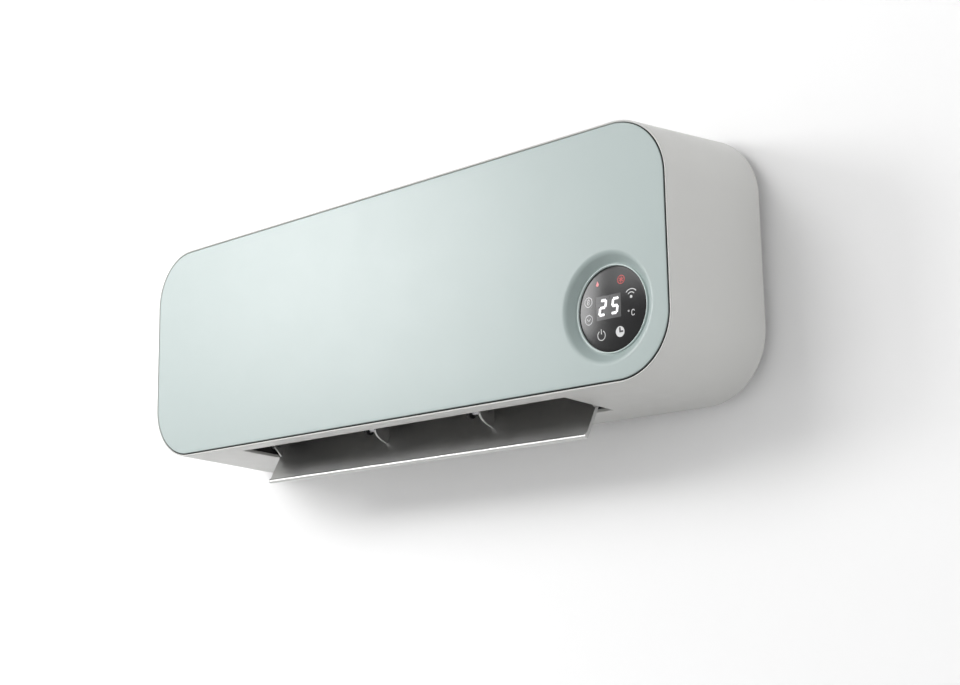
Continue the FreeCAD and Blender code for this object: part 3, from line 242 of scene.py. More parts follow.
MATERIALS = {
    "casing_white": shade("casing_white", (0.51, 0.51, 0.496), 0.42, vary=0.015, bump=0.05, coat=0.10,
                          coat_roughness=0.3),
    # Near-black painted shade for the inside of the casing, which is the same white moulding as its outside.
    "casing_inside_painted_shade": shade("casing_inside_painted_shade", (0.03, 0.03, 0.03), 0.6, bump=0.05),
    "back_plastic": shade("back_plastic", (0.60, 0.60, 0.59), 0.55, bump=0.12, grain=1400),
    "panel_mint": shade("panel_mint", (0.340, 0.406, 0.396), 0.43, vary=0.01, grain=3200, bump=0.008, coat=0.24,
                        spread=0.02, coat_roughness=0.28, specular=0.4),
    "ring_mint": shade("ring_mint", (0.60, 0.69, 0.67), 0.25, vary=0.02, bump=0.01, coat=0.5),
    "lens_black": shade("lens_black", (0.004, 0.004, 0.0045), 0.19, vary=0.1, bump=0.0, spread=0.02,
                        specular=0.30),
    "circuit_board": circuit_green("circuit_board"),
    "digit_plastic": shade("digit_plastic", (0.03, 0.03, 0.032), 0.45),
    "spring_steel": shade("spring_steel", (0.62, 0.62, 0.62), 0.28, metallic=1.0),
    "inner_plastic": shade("inner_plastic", (0.09, 0.09, 0.092), 0.5, bump=0.08),
    "duct_black": shade("duct_black", (0.018, 0.018, 0.018), 0.55, vary=0.2, bump=0.1),
    "ceramic": shade("ceramic", (0.48, 0.44, 0.37), 0.7, vary=0.12, bump=0.2),
    "fin_aluminium": shade("fin_aluminium", (0.66, 0.67, 0.68), 0.34, metallic=1.0, stretch=(1, 1, 12)),
    "fan_aluminium": shade("fan_aluminium", (0.42, 0.43, 0.44), 0.38, metallic=1.0, stretch=(1, 14, 14)),
    "brass_tab": shade("brass_tab", (0.70, 0.52, 0.24), 0.3, metallic=1.0),
    "plated_steel": shade("plated_steel", (0.58, 0.58, 0.60), 0.3, metallic=1.0, vary=0.06),
    "rubber_black": shade("rubber_black", (0.022, 0.022, 0.022), 0.75, bump=0.15),
    "component_blue": shade("component_blue", (0.03, 0.09, 0.32), 0.35),
    "component_yellow": shade("component_yellow", (0.62, 0.46, 0.07), 0.4),
    "switch_black": shade("switch_black", (0.018, 0.018, 0.019), 0.38, bump=0.08, grain=1800),
    "flap_silver": shade("flap_silver", (0.62, 0.62, 0.61), 0.42, vary=0.02, metallic=0.9, spread=0.03),
    "net_grey": net("net_grey"),
    "mark_white": glowing("mark_white", (0.48, 0.48, 0.48), 0.5),
    "mark_grey": glowing("mark_grey", (0.48, 0.48, 0.49), 0.5),
    "mark_digit": glowing("mark_digit", (1.0, 1.0, 1.0), 1.5),
    "mark_glow": glowing("mark_glow", (0.30, 0.30, 0.31), 0.5),
    "mark_red": glowing("mark_red", (0.42, 0.01, 0.01), 0.5),
    "mark_pink": glowing("mark_pink", (0.58, 0.15, 0.16), 0.35),
    "window_grey": shade("window_grey", (0.022, 0.022, 0.024), 0.3, bump=0.0, specular=0.45),
}


# ---------------------------------------------------------------- mesh helpers

# Points this close (in metres) are one point.
WELD = 1e-7
NODE_WELD = 1e-6

def piece(name, points, faces, slot, body, replaces=(), material=None, sharp=35):
    """A mesh object from millimetre points, riding on a CAD body."""
    mesh = bpy.data.meshes.new(name)
    mesh.from_pydata([Vector(point) * MM for point in points], [], faces)
    item = bpy.data.objects.new(name, mesh)
    bpy.context.scene.collection.objects.link(item)
    tidy_mesh(mesh, sharp)
    mesh.materials.append(MATERIALS[material or slot])
    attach(item, body)
    if replaces:
        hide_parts(*replaces)
    return item


def tidy_mesh(mesh, sharp):
    """Weld doubles, point every face outwards, and shade smooth below the sharp angle."""
    work = bmesh.new()
    work.from_mesh(mesh)
    bmesh.ops.remove_doubles(work, verts=work.verts, dist=WELD)
    bmesh.ops.recalc_face_normals(work, faces=work.faces)
    work.to_mesh(mesh)
    work.free()
    mesh.shade_smooth()
    mesh.set_sharp_from_angle(angle=math.radians(sharp))


def weighted(item):
    """Shades a piece by the size of its faces, so that the large ones look flat."""
    modifier = item.modifiers.new("even_shading", "WEIGHTED_NORMAL")
    modifier.keep_sharp = True
    modifier.weight = 80


def soften(item, width, segments, angle=40):
    """Rounds the hard edges of a piece or a CAD node, without touching the node's own mesh."""
    if item.name in NODES:
        weld = item.modifiers.new("weld", "WELD")
        weld.merge_threshold = NODE_WELD
    bevel = item.modifiers.new("rounded_edges", "BEVEL")
    bevel.width = width * MM
    bevel.segments = segments
    bevel.limit_method = "ANGLE"
    bevel.angle_limit = math.radians(angle)
    bevel.use_clamp_overlap = True
    bevel.harden_normals = False
    weighted(item)


def strip_faces(rows, count, closed_rows=False):
    """Quads between rows of points, each row a ring of the same number of points."""
    faces = []
    for row in range(rows if closed_rows else rows - 1):
        after = (row + 1) % rows
        for step in range(count):
            turn = (step + 1) % count
            faces.append((row * count + step, row * count + turn, after * count + turn, after * count + step))
    return faces


def rounded_ring(half_width, half_height, radius, y, per_corner=20):
    """Points round a rounded rectangle that stands parallel to the wall."""
    ring = []
    centres = [(1, 1, 0), (-1, 1, 90), (-1, -1, 180), (1, -1, 270)]
    for side, level, start in centres:
        for step in range(per_corner + 1):
            angle = math.radians(start + 90 * step / per_corner)
            x = side * (half_width - radius) + radius * math.cos(angle)
            z = level * (half_height - radius) + radius * math.sin(angle)
            ring.append((x, y, z))
    return ring


def casing_ring(y, inset):
    """The casing's outline at depth y, drawn in by an inset."""
    share = 1 + y / DEPTH
    return rounded_ring(
        FRONT_HALF_WIDTH + FLARE * share - inset,
        FRONT_HALF_HEIGHT + FLARE * share - inset,
        FRONT_CORNER + (REAR_CORNER - FRONT_CORNER) * share - inset,
        y,
    )


def revolve(profile, centre, count):
    """Rings about an axis along Y through a centre, from pairs of radius and y. A zero radius closes a cap."""
    points, faces, rings = [], [], []
    for radius, y in profile:
        if radius == 0:
            points.append((centre[0], y, centre[1]))
            rings.append([len(points) - 1] * count)
            continue
        start = len(points)
        for step in range(count):
            angle = math.tau * step / count
            points.append((centre[0] + radius * math.cos(angle), y, centre[1] + radius * math.sin(angle)))
        rings.append(list(range(start, start + count)))
    for low, high in zip(rings, rings[1:] + rings[:1]):
        for step in range(count):
            turn = (step + 1) % count
            corner = [low[step], low[turn], high[turn], high[step]]
            face = tuple(dict.fromkeys(corner))
            if len(face) > 2:
                faces.append(face)
    return points, faces


def arc(centre, radius, start, end, steps):
    """Points (as pairs) along an arc, in degrees."""
    points = []
    for step in range(steps + 1):
        angle = math.radians(start + (end - start) * step / steps)
        points.append((centre[0] + radius * math.cos(angle), centre[1] + radius * math.sin(angle)))
    return points


def joined(shapes):
    """Points and faces of several shapes as one shape."""
    points, faces = [], []
    for shape_points, shape_faces in shapes:
        start = len(points)
        points += shape_points
        faces += [tuple(start + index for index in face) for face in shape_faces]
    return points, faces


def cutter(name, points, faces):
    """A closed shape that carve() takes out of a piece."""
    mesh = bpy.data.meshes.new(name)
    mesh.from_pydata([Vector(point) * MM for point in points], [], faces)
    work = bmesh.new()
    work.from_mesh(mesh)
    bmesh.ops.recalc_face_normals(work, faces=work.faces)
    work.to_mesh(mesh)
    work.free()
    item = bpy.data.objects.new(name, mesh)
    bpy.context.scene.collection.objects.link(item)
    return item


BOX_FACES = [(0, 1, 3, 2), (4, 6, 7, 5), (0, 4, 5, 1), (2, 3, 7, 6), (0, 2, 6, 4), (1, 5, 7, 3)]


def box_points(low, high):
    """A box's corners, in the order that BOX_FACES takes them."""
    return [(x, y, z) for x in (low[0], high[0]) for y in (low[1], high[1]) for z in (low[2], high[2])]


def carve(item, cutters):
    """Cuts shapes out of a piece and keeps the result as its mesh."""
    for tool in cutters:
        cut = item.modifiers.new(tool.name, "BOOLEAN")
        cut.operation = "DIFFERENCE"
        cut.solver = "EXACT"
        cut.object = tool
    bpy.context.view_layer.update()
    depsgraph = bpy.context.evaluated_depsgraph_get()
    mesh = bpy.data.meshes.new_from_object(item.evaluated_get(depsgraph))
    item.modifiers.clear()
    item.data = mesh
    for tool in cutters:
        bpy.data.objects.remove(tool)


# ---------------------------------------------------------------- casing and panel


def casing():
    """Flared shell with a rounded front lip, and openings for outlet, intake, display, switch and gland."""
    quarter = [(math.sin(math.radians(turn)), math.cos(math.radians(turn))) for turn in range(0, 91, 18)]
    path = [(-DEPTH + PANEL_STEP, LIP)]
    path += [(-DEPTH + LIP_INNER_ROUND * (1 - s), LIP - LIP_INNER_ROUND * (1 - c)) for s, c in quarter]
    path += [(-DEPTH + LIP_ROUND - LIP_ROUND * c, LIP_ROUND - LIP_ROUND * s) for s, c in quarter[1:]]
    path += [(-REAR_ROUND + REAR_ROUND * s, REAR_ROUND - REAR_ROUND * c) for s, c in quarter]
    path += [(0, SKIN), (-DEPTH + PANEL_STEP + SKIN, SKIN)]
    rings = [casing_ring(y, inset) for y, inset in path]
    count = len(rings[0])
    points = [point for ring in rings for point in ring]
    faces = strip_faces(len(rings), count)
    faces.append(tuple(range(count)))
    faces.append(tuple(range((len(rings) - 1) * count, len(rings) * count)))
    shell = piece("casing_shell", points, faces, "casing_white", HOUSING, replaces=("casing",))
    # The inner wall and the inner front shelf take the near-black material: painted shade, so that the inside
    # reads dark through the outlet.
    shell.data.materials.append(MATERIALS["casing_inside_painted_shade"])
    inner_start = (len(rings) - 2) * count
    for index in [*range(inner_start, inner_start + count), len(faces) - 1]:
        shell.data.polygons[index].material_index = 1

    inner_top, inner_bottom, outside = 70, -72, 110
    outlet = box_points((-OUTLET_HALF, OUTLET_FRONT, -outside), (OUTLET_HALF, OUTLET_REAR, inner_bottom))
    intake = box_points((-INTAKE_HALF, INTAKE_FRONT, inner_top), (INTAKE_HALF, INTAKE_REAR, outside))
    dial = revolve(
        [(0, -DEPTH), (DIAL_HOLE, -DEPTH), (DIAL_HOLE, DIAL_HOLE_END), (0, DIAL_HOLE_END)], (DIAL_X, DIAL_Z), 96
    )
    switch_low, switch_high = node_box("switch_body")
    rim = Vector((0, 2, 1.6))
    low, high = switch_low + rim, switch_high - rim
    switch = box_points((low.x - 6, low.y, low.z), (low.x + 12, high.y, high.z))
    gland_low, gland_high = node_box("cable_gland")
    middle, through = (gland_low + gland_high) / 2, 20
    gland_points, gland_faces = revolve(
        [(0, -through), (GLAND_HOLE, -through), (GLAND_HOLE, through), (0, through)], (0, 0), 48
    )
    turned = [(gland_low.x + y, middle.y + x, middle.z + z) for x, y, z in gland_points]
    carve(shell, [
        cutter("cut_outlet", outlet, BOX_FACES),
        cutter("cut_intake", intake, BOX_FACES),
        cutter("cut_dial", *dial),
        cutter("cut_switch", switch, BOX_FACES),
        cutter("cut_gland", turned, gland_faces),
    ])
    tidy_mesh(shell.data, 35)
    soften(shell, 0.45, 2, 50)


def outline_distance(x, z, half_width, half_height, radius):
    """Signed distance from a point to a rounded rectangle."""
    dx, dz = abs(x) - (half_width - radius), abs(z) - (half_height - radius)
    outside = math.hypot(max(dx, 0), max(dz, 0))
    return outside + min(max(dx, dz), 0) - radius


def outline_hit(angle, inset):
    """Where a ray from the dial's centre meets the panel's outline."""
    half_width, half_height = PANEL_HIGH.x - inset, PANEL_HIGH.z - inset
    radius = PANEL_CORNER - inset
    near, far, halvings = 0.0, 2.2 * REAR_HALF_WIDTH, 44
    for _ in range(halvings):
        middle = (near + far) / 2
        x, z = DIAL_X + middle * math.cos(angle), DIAL_Z + middle * math.sin(angle)
        if outline_distance(x, z, half_width, half_height, radius) < 0:
            near = middle
        else:
            far = middle
    return DIAL_X + near * math.cos(angle), DIAL_Z + near * math.sin(angle)


def panel_directions():
    """Angles from the dial's centre: an even fan, and every step round the panel's corners."""
    fan, closest = 160, 0.0015
    angles = [math.tau * step / fan for step in range(fan)]
    for x, _, z in rounded_ring(PANEL_HIGH.x, PANEL_HIGH.z, PANEL_CORNER, 0, 24):
        angles.append(math.atan2(z - DIAL_Z, x - DIAL_X) % math.tau)
    angles.sort()
    kept = [angles[0]]
    for angle in angles[1:]:
        if angle - kept[-1] > closest:
            kept.append(angle)
    return kept


def front_panel():
    """Mint plate with soft edges and a dish whose rim rolls over smoothly."""
    angles = panel_directions()
    front, thick = -DEPTH, 3.0
    floor, floor_back = front + DISH_DEPTH, front + DISH_DEPTH + 2
    slope = math.degrees(math.atan2(DISH_DEPTH, DISH_RADIUS - DISH_FLOOR_RADIUS))
    tangent = math.tan(math.radians(slope / 2))
    roll, foot = 5.0, 2.4
    rolled = arc((DISH_RADIUS + roll * tangent, front + roll), roll, -90, -90 - slope, 10)
    cove = arc((DISH_FLOOR_RADIUS - foot * tangent, floor - foot), foot, 90, 90 - slope, 6)
    bore = LENS_RADIUS + 0.6

    def circle(radius, y):
        return [(DIAL_X + radius * math.cos(a), y, DIAL_Z + radius * math.sin(a)) for a in angles]

    def outline(inset, y):
        hits = [outline_hit(a, inset - PANEL_SHIFT) for a in angles]
        return [(x - PANEL_SHIFT, y, z + PANEL_SHIFT) for x, z in hits]

    dish = [(bore, floor_back), (bore, floor)] + cove + list(reversed(rolled)) + [(DISH_RADIUS + 6.5, front)]
    rim = [(3.0, front), (0.5, front), (0.15, front + 0.15), (0.0, front + 0.5), (0.0, front + thick)]
    back = [(DISH_RADIUS + 2.2, front + thick), (DISH_FLOOR_RADIUS + 1.8, floor_back)]
    rows = [circle(*step) for step in dish] + [outline(*step) for step in rim] + [circle(*step) for step in back]
    points = [point for row in rows for point in row]
    faces = strip_faces(len(rows), len(angles), closed_rows=True)
    plate = piece("front_panel_skin", points, faces, "panel_mint", HOUSING, replaces=("front_panel",), sharp=50)
    weighted(plate)


def painted_gap_shade():
    """Painted shade: a black strip in the gap round the panel, a wall beside the panel and a base across the
    bottom of the gap, so that the gap reads dark.
    """
    wall, top, base = 0.15, 0.3, 1.6
    outer, inner = LIP + 0.02, GAP_SHADE_INSET - 0.01
    side = [(top, inner), (top, inner - wall), (base, inner - wall)]
    rings = [
        rounded_ring(FRONT_HALF_WIDTH - inset, FRONT_HALF_HEIGHT - inset, FRONT_CORNER - inset, y - DEPTH)
        for y, inset in side + [(base, outer), (PANEL_STEP, outer), (PANEL_STEP, inner)]
    ]
    points = [point for ring in rings for point in ring]
    faces = strip_faces(len(rings), len(rings[0]), closed_rows=True)
    # The strip takes the black rubber material, but it stands for the shade in the gap.
    piece("painted_gap_shade", points, faces, "rubber_black", HOUSING)


# ---------------------------------------------------------------- display


def dome_y(radius):
    """Front surface of the domed lens at a distance from its centre."""
    return LENS_LOW.y + LENS_DOME * ((radius / LENS_RADIUS) ** 2 - 1) + LENS_DOME


def display_ring():
    """Slim bright ring with a rounded crest round the lens."""
    inner = LENS_RADIUS + LENS_SPREAD
    outer = inner + RING_WIDTH
    crest_y, floor_y, height = RING_LOW.y + 0.4, -DEPTH + DISH_DEPTH + 0.6, 0.9
    middle = (inner + outer) / 2
    half = (outer - inner) / 2
    turns = [math.radians(turn) for turn in range(0, 181, 15)]
    crest = [(middle + half * math.cos(turn), crest_y + height - height * math.sin(turn)) for turn in turns]
    profile = [(outer, floor_y)] + crest + [(inner, floor_y)]
    points, faces = revolve(profile, (DIAL_X, DIAL_Z), 160)
    piece("display_rim", points, faces, "ring_mint", HOUSING, replaces=("display_ring",), sharp=60)


def display_lens():
    """Black lens with a shallow dome and a rounded edge."""
    steps, edge_round = 18, 0.5
    rim, seat = LENS_RADIUS + LENS_SPREAD, -DEPTH + DISH_DEPTH + 0.4
    edge = rim - edge_round
    profile = [(0, dome_y(0))]
    profile += [(edge * step / steps, dome_y(edge * step / steps)) for step in range(1, steps + 1)]
    profile += [(rim - 0.15, dome_y(edge) + 0.15), (rim, dome_y(edge) + edge_round), (rim, seat)]
    profile += [(LENS_RADIUS, seat), (LENS_RADIUS, LENS_HIGH.y), (0, LENS_HIGH.y)]
    points, faces = revolve(profile, (DIAL_X, DIAL_Z), 160)
    piece("display_glass", points, faces, "lens_black", HOUSING, replaces=("display_lens",), sharp=50)


def on_lens(x, z, lift):
    """A point on the lens, lifted towards the viewer."""
    return (DIAL_X + x, dome_y(math.hypot(x, z)) - lift, DIAL_Z + z)


def stroke(path, width, closed=False, lift=MARK_LIFT):
    """A flat ribbon on the lens along a path of (x, z) pairs."""
    points, count = [], len(path)
    for index, (x, z) in enumerate(path):
        if closed:
            before, after = path[index - 1], path[(index + 1) % count]
        else:
            before, after = path[max(index - 1, 0)], path[min(index + 1, count - 1)]
        along = Vector((after[0] - before[0], after[1] - before[1])).normalized()
        side = Vector((-along.y, along.x)) * width / 2
        for sign in (1, -1):
            for height in (lift, MARK_ROOT):
                points.append(on_lens(x + sign * side.x, z + sign * side.y, height))
    faces = []
    for index in range(count if closed else count - 1):
        a, b = index * 4, ((index + 1) % count) * 4
        for low, high in ((0, 1), (1, 3), (3, 2), (2, 0)):
            faces.append((a + low, a + high, b + high, b + low))
    if not closed:
        last = (count - 1) * 4
        faces += [(0, 1, 3, 2), (last, last + 1, last + 3, last + 2)]
    return points, faces


def patch(outline):
    """A filled shape on the lens from (x, z) pairs."""
    count = len(outline)
    points = [on_lens(x, z, height) for height in (MARK_LIFT, MARK_ROOT) for x, z in outline]
    faces = [tuple(range(count)), tuple(range(count, 2 * count))]
    faces += [(i, (i + 1) % count, count + (i + 1) % count, count + i) for i in range(count)]
    return points, faces


def marks(name, shapes, material):
    """Joins ribbons and filled shapes into one piece on the lens."""
    piece(name, *joined(shapes), "digit_plastic", HOUSING, material=material)


def digit(segments, centre, thick=1.0, lift=0.12):
    """Seven-segment figure from segment letters, leaning to the right."""
    left, right, top, middle, low = -DIGIT_WIDTH / 2, DIGIT_WIDTH / 2, DIGIT_HEIGHT / 2, 0.0, -DIGIT_HEIGHT / 2
    ends = {
        "a": ((left, top), (right, top)), "g": ((left, middle), (right, middle)), "d": ((left, low), (right, low)),
        "f": ((left, top), (left, middle)), "b": ((right, top), (right, middle)),
        "e": ((left, middle), (left, low)), "c": ((right, middle), (right, low)),
    }
    shapes = []
    for letter in segments:
        (x0, z0), (x1, z1) = ends[letter]
        path = []
        for share in (DIGIT_GAP, 0.35, 0.65, 1 - DIGIT_GAP):
            x, z = x0 + (x1 - x0) * share, z0 + (z1 - z0) * share
            path.append((centre[0] + x + DIGIT_SLANT * z, centre[1] + z))
        shapes.append(stroke(path, thick, lift=lift))
    return shapes


def display_marks():
    """Generic symbols and a temperature, lit or printed on the lens. Places are from the lens's centre."""
    window = [stroke([(x, -6.2), (x, -1.1), (x, 4.0), (x, 9.1)], 1.02, lift=0.03) for x in range(-12, 8)]
    marks("display_window", window, "window_grey")
    two, five = ("abged", (-7.1, 1.6)), ("afgcd", (2.9, 1.5))
    glow = {"thick": 2.2, "lift": 0.07}
    marks("display_glow", digit(*two, **glow) + digit(*five, **glow), "mark_glow")
    marks("display_digits", digit(*two) + digit(*five), "mark_digit")

    signal, degree, power, clock = (15.7, 5.2), (13.4, -3.7), (-9.2, -15.9), (6.0, -15.7)
    white = [patch(arc(signal, 0.95, 0, 345, 14))]
    white += [stroke(arc(signal, radius, 40, 140, 12), 0.55) for radius in (2.9, 5.0)]
    white.append(stroke(arc(degree, 0.45, 0, 330, 9), 0.35, closed=True))
    letter = [
        (17.9, -4.1), (17.5, -3.4), (16.4, -3.3), (15.8, -4.0),
        (15.7, -6.0), (16.3, -6.8), (17.4, -6.7), (17.8, -6.1),
    ]
    white.append(stroke(letter, 0.5))
    white.append(stroke(arc(power, 3.1, 120, 420, 24), 0.48))
    white.append(stroke([(power[0], power[1] + rise) for rise in (4.0, 2.5, 0.7)], 0.55))
    white.append(patch(arc(clock, 3.4, 0, 348, 30)))
    marks("display_symbols", white, "mark_white")
    hands = [[(0, 2.7), (0, 1.2), (0, -0.5)], [(-0.5, 0), (1.0, 0), (2.4, 0)]]
    hands = [stroke([(clock[0] + x, clock[1] + z) for x, z in hand], 1.05, lift=0.25) for hand in hands]
    marks("clock_hands", hands, "digit_plastic")

    upper, lower = (-19.2, 7.1), (-19.2, -4.5)
    grey = [stroke(arc(centre, 3.1, 0, 345, 26), 0.38, closed=True) for centre in (upper, lower)]
    grey.append(stroke(arc((upper[0] + 0.1, upper[1] + 0.8), 0.85, -60, 240, 10), 0.34))
    grey.append(stroke(arc((upper[0] - 0.1, upper[1] - 0.8), 0.85, 120, 420, 10), 0.34))
    tick = [(-1.5, 0.9), (-0.5, -0.5), (0.5, -0.5), (1.5, 0.9)]
    grey.append(stroke([(lower[0] + x, lower[1] + z) for x, z in tick], 0.38))
    marks("display_timers", grey, "mark_grey")

    flame = [
        (-11.4, 19.6), (-10.6, 18.3), (-10.2, 17.3), (-10.5, 16.4),
        (-11.4, 16.0), (-12.3, 16.4), (-12.6, 17.3), (-12.1, 18.3),
    ]
    marks("display_flame", [patch(flame)], "mark_pink")
    wheel, sweep = (7.9, 17.5), 14
    red = [stroke(arc(wheel, 2.7, 0, 345, 24), 0.42, closed=True), patch(arc(wheel, 0.6, 0, 345, 12))]
    for start in range(0, 360, 60):
        blade = []
        for reach in (0.7, 1.3, 2.0):
            angle = math.radians(start + sweep * reach)
            blade.append((wheel[0] + reach * math.cos(angle), wheel[1] + reach * math.sin(angle)))
        red.append(stroke(blade, 0.5))
    marks("display_fan", red, "mark_red")


# ---------------------------------------------------------------- flap


def flap_section():
    """Cross-section of the closed flap about its pivot: (y, z) pairs with rounded edges."""
    ahead, behind, drop = 30.5, 17.0, 7.0
    edge, root, bead = 2.6, 2.8, 1.7
    meet = math.degrees(math.asin((edge - bead) / bead))
    front = arc((-ahead + bead, -drop - edge + bead), bead, meet, 270, 14)
    rear = arc((behind - root / 2, -drop - root / 2), root / 2, -90, 90, 8)
    return front + rear


def swing(point):
    """From the closed flap's own frame to its place in the heater."""
    turned = Matrix.Rotation(math.radians(FLAP_TURN), 3, "X") @ Vector(point)
    return tuple(turned + PIVOT)


def end_lug_outline():
    """Lug at an end of the flap: an eye on a web that widens to the rear."""
    eye = arc((0, 0), 4.2, -20, 180, 16)
    front = [(-4.6, -2.0), (-5.3, -4.4), (-6.3, -7.6)]
    rear = [(13.0, -7.6), (9.5, -6.2), (6.6, -4.2)]
    return eye + front + rear


def middle_lug_outline():
    """Larger round lug with a bowed front rim, on a narrower foot."""
    front = [(-9.5, -7.6), (-9.9, -5.0), (-10.2, -2.0), (-10.2, 1.0), (-9.8, 3.6), (-8.7, 6.0)]
    crown = [(-7.0, 7.6), (-5.0, 8.3), (-2.6, 8.4), (0.0, 8.0), (2.2, 6.8), (3.7, 5.0)]
    rear = [(4.2, 2.6), (4.2, 0.0), (3.6, -2.2), (1.6, -4.2), (-1.6, -5.6), (-3.0, -7.6)]
    return front + crown + rear


def slab(outline, x_from, x_to, edge):
    """A plate across X from an outline of (y, z) pairs, with softened rims."""
    centre_y = sum(y for y, _ in outline) / len(outline)
    centre_z = sum(z for _, z in outline) / len(outline)

    def ring(x, inset):
        points = []
        for y, z in outline:
            out = Vector((y - centre_y, z - centre_z))
            out = out * (1 - inset / max(out.length, 0.01))
            points.append(swing((x, centre_y + out.x, centre_z + out.y)))
        return points

    near = edge * 0.3
    rings = [ring(x_from, edge), ring(x_from + near, near), ring(x_from + edge, 0)]
    rings += [ring(x_to - edge, 0), ring(x_to - near, near), ring(x_to, edge)]
    count = len(outline)
    points = [point for row in rings for point in row]
    faces = strip_faces(len(rings), count)
    faces.append(tuple(range(count)))
    faces.append(tuple(range((len(rings) - 1) * count, len(rings) * count)))
    return points, faces


def flap():
    """Air flap: thin plate with a rounded free edge, and four lugs."""
    half, plate_edge, lug_edge = FLAP_HIGH.x, 0.5, 0.3
    shapes = [slab(flap_section(), -half, half, plate_edge)]
    for start in (-half, half - LUG_THICK):
        shapes.append(slab(end_lug_outline(), start, start + LUG_THICK, lug_edge))
    for start in MIDDLE_LUGS:
        shapes.append(slab(middle_lug_outline(), start, start + LUG_THICK, lug_edge))
    plate = piece("air_flap", *joined(shapes), "flap_silver", FLAP, replaces=("flap",), sharp=50)
    weighted(plate)


# ---------------------------------------------------------------- hidden and small pieces


def carried_over():
    """Procedural materials and softened edges for the CAD nodes that keep their shape."""
    slots = {entry["node"]: entry["material_slot"] for entry in frame["record"]["subparts"]}
    fine = {"fan_rotor", "heater_fins", "outlet_guard", "intake_grille", "dust_filter"}
    replaced = {"casing", "front_panel", "display_ring", "display_lens", "flap"}
    for name, item in NODES.items():
        if name in replaced:
            continue
        item.data.materials.clear()
        item.data.materials.append(MATERIALS[slots[name]])
        if name in fine:
            soften(item, 0.15, 1)
        else:
            soften(item, 0.3, 2)


# ---------------------------------------------------------------- stage, light and camera

# Strength of the surround, and how much it gains towards the left and towards the top.
WORLD_BASE, WORLD_LEFT, WORLD_UP = 0.55, 0.45, 0.14

def stage_wall():
    """Pale wall, open where the heater covers it and clear from behind, so that the heater's back can be seen."""
    material, nodes, links, shader = new_material("wall_paint")
    shader.inputs["Roughness"].default_value = 0.9
    tone = blend_colours(nodes, links, noise(nodes, links, 3, 3.0), (0.935, 0.935, 0.935), (0.955, 0.955, 0.955))
    links.new(tone, shader.inputs["Base Color"])
    clear = nodes.new("ShaderNodeBsdfTransparent")
    side = nodes.new("ShaderNodeNewGeometry")
    mix = nodes.new("ShaderNodeMixShader")
    links.new(side.outputs["Backfacing"], mix.inputs["Fac"])
    links.new(shader.outputs["BSDF"], mix.inputs[1])
    links.new(clear.outputs["BSDF"], mix.inputs[2])
    output = next(node for node in nodes if node.type == "OUTPUT_MATERIAL")
    links.new(mix.outputs["Shader"], output.inputs["Surface"])
    mesh = bpy.data.meshes.new("wall")
    reach, gap, margin = 4000.0, 7.0, 24.0
    opening = rounded_ring(REAR_HALF_WIDTH - margin, REAR_HALF_HEIGHT - margin, REAR_CORNER - margin, gap)
    outside = rounded_ring(reach, reach, REAR_CORNER, gap)
    points = [Vector(point) * MM for point in outside + opening]
    mesh.from_pydata(points, [], strip_faces(2, len(opening)))
    mesh.materials.append(material)
    wall = bpy.data.objects.new("wall", mesh)
    bpy.context.scene.collection.objects.link(wall)


def stage_floor():
    """Plain pale floor far below the heater."""
    material, nodes, links, shader = new_material("floor_paint")
    shader.inputs["Roughness"].default_value = 0.8
    tone = blend_colours(nodes, links, noise(nodes, links, 4, 3.0), (0.66, 0.66, 0.66), (0.70, 0.70, 0.70))
    links.new(tone, shader.inputs["Base Color"])
    mesh = bpy.data.meshes.new("floor")
    reach, level = 5.0, -1.75
    corners = [(-reach, -reach, level), (reach, -reach, level), (reach, reach, level), (-reach, reach, level)]
    mesh.from_pydata(corners, [], [(0, 1, 2, 3)])
    mesh.materials.append(material)
    floor = bpy.data.objects.new("floor", mesh)
    bpy.context.scene.collection.objects.link(floor)


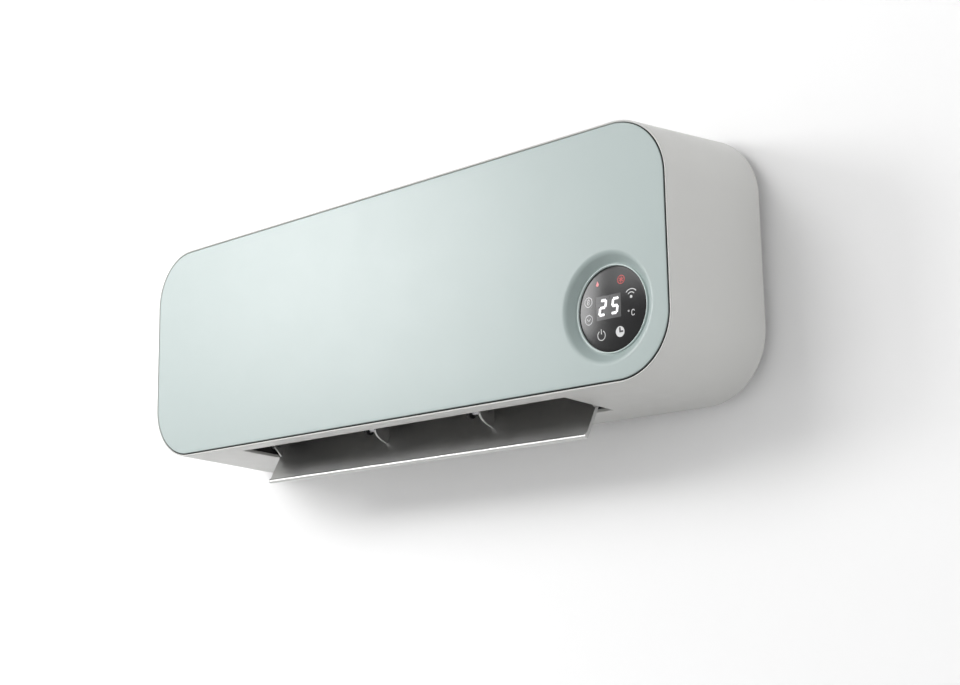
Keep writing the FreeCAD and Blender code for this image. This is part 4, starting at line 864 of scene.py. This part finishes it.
def world():
    """Soft studio surround, brighter above and to the left."""
    surround = bpy.data.worlds.new("studio")
    bpy.context.scene.world = surround
    surround.use_nodes = True
    nodes, links = surround.node_tree.nodes, surround.node_tree.links
    nodes.clear()
    place = nodes.new("ShaderNodeTexCoord")
    split = nodes.new("ShaderNodeSeparateXYZ")
    links.new(place.outputs["Generated"], split.inputs["Vector"])
    level = nodes.new("ShaderNodeMath")
    level.operation = "MULTIPLY_ADD"
    level.inputs[1].default_value = -WORLD_LEFT
    level.inputs[2].default_value = WORLD_BASE
    links.new(split.outputs["X"], level.inputs[0])
    total = nodes.new("ShaderNodeMath")
    total.operation = "MULTIPLY_ADD"
    total.inputs[1].default_value = WORLD_UP
    links.new(split.outputs["Z"], total.inputs[0])
    links.new(level.outputs["Value"], total.inputs[2])
    back = nodes.new("ShaderNodeBackground")
    back.inputs["Color"].default_value = (1, 1, 1, 1)
    links.new(total.outputs["Value"], back.inputs["Strength"])
    output = nodes.new("ShaderNodeOutputWorld")
    links.new(back.outputs["Background"], output.inputs["Surface"])


def area_light(name, place, aim, width, height, power):
    """Rectangular light in metres and watts, turned towards a point."""
    data = bpy.data.lights.new(name, "AREA")
    data.shape = "RECTANGLE"
    data.size, data.size_y, data.energy = width, height, power
    item = bpy.data.objects.new(name, data)
    item.location = place
    item.rotation_mode = "QUATERNION"
    item.rotation_quaternion = (Vector(aim) - Vector(place)).to_track_quat("-Z", "Y")
    bpy.context.scene.collection.objects.link(item)


def lights():
    area_light("key", (-0.9, -2.2, 1.3), (0, 0, 0), 1.2, 1.2, 22)
    area_light("near_left", (-0.95, -0.95, 0.36), (-0.1, 0, 0), 0.42, 0.42, 7.5)
    area_light("left_card", (-1.75, -1.1, 0.15), (0, 0, 0), 0.9, 1.7, 6)
    area_light("right_fill", (2.3, -0.32, 0.25), (0, 0, 0), 0.55, 1.6, 16.5)


def camera():
    """Looks up at the heater from the lower right, from about 1.25 m away."""
    azimuth, elevation, roll = math.radians(43.68), math.radians(-11.34), math.radians(-0.975)
    distance, target = 1.2482, Vector((0.01568, 0, -0.01575))
    flat = math.cos(elevation)
    back = Vector((math.sin(azimuth) * flat, -math.cos(azimuth) * flat, math.sin(elevation)))
    level = Vector((math.cos(azimuth), math.sin(azimuth), 0))
    upright = back.cross(level)
    right = math.cos(roll) * level + math.sin(roll) * upright
    up = -math.sin(roll) * level + math.cos(roll) * upright
    data = bpy.data.cameras.new("camera")
    data.lens, data.sensor_width = 62.53, 36.0
    data.clip_start, data.clip_end = 0.05, 30
    item = bpy.data.objects.new("camera", data)
    turn = Matrix((right, up, back)).transposed().to_4x4()
    item.matrix_world = Matrix.Translation(target + back * distance) @ turn
    bpy.context.scene.collection.objects.link(item)
    bpy.context.scene.camera = item


casing()
front_panel()
painted_gap_shade()
display_ring()
display_lens()
display_marks()
flap()
carried_over()
stage_wall()
stage_floor()
world()
lights()
camera()
bpy.context.scene.view_settings.view_transform = "Standard"
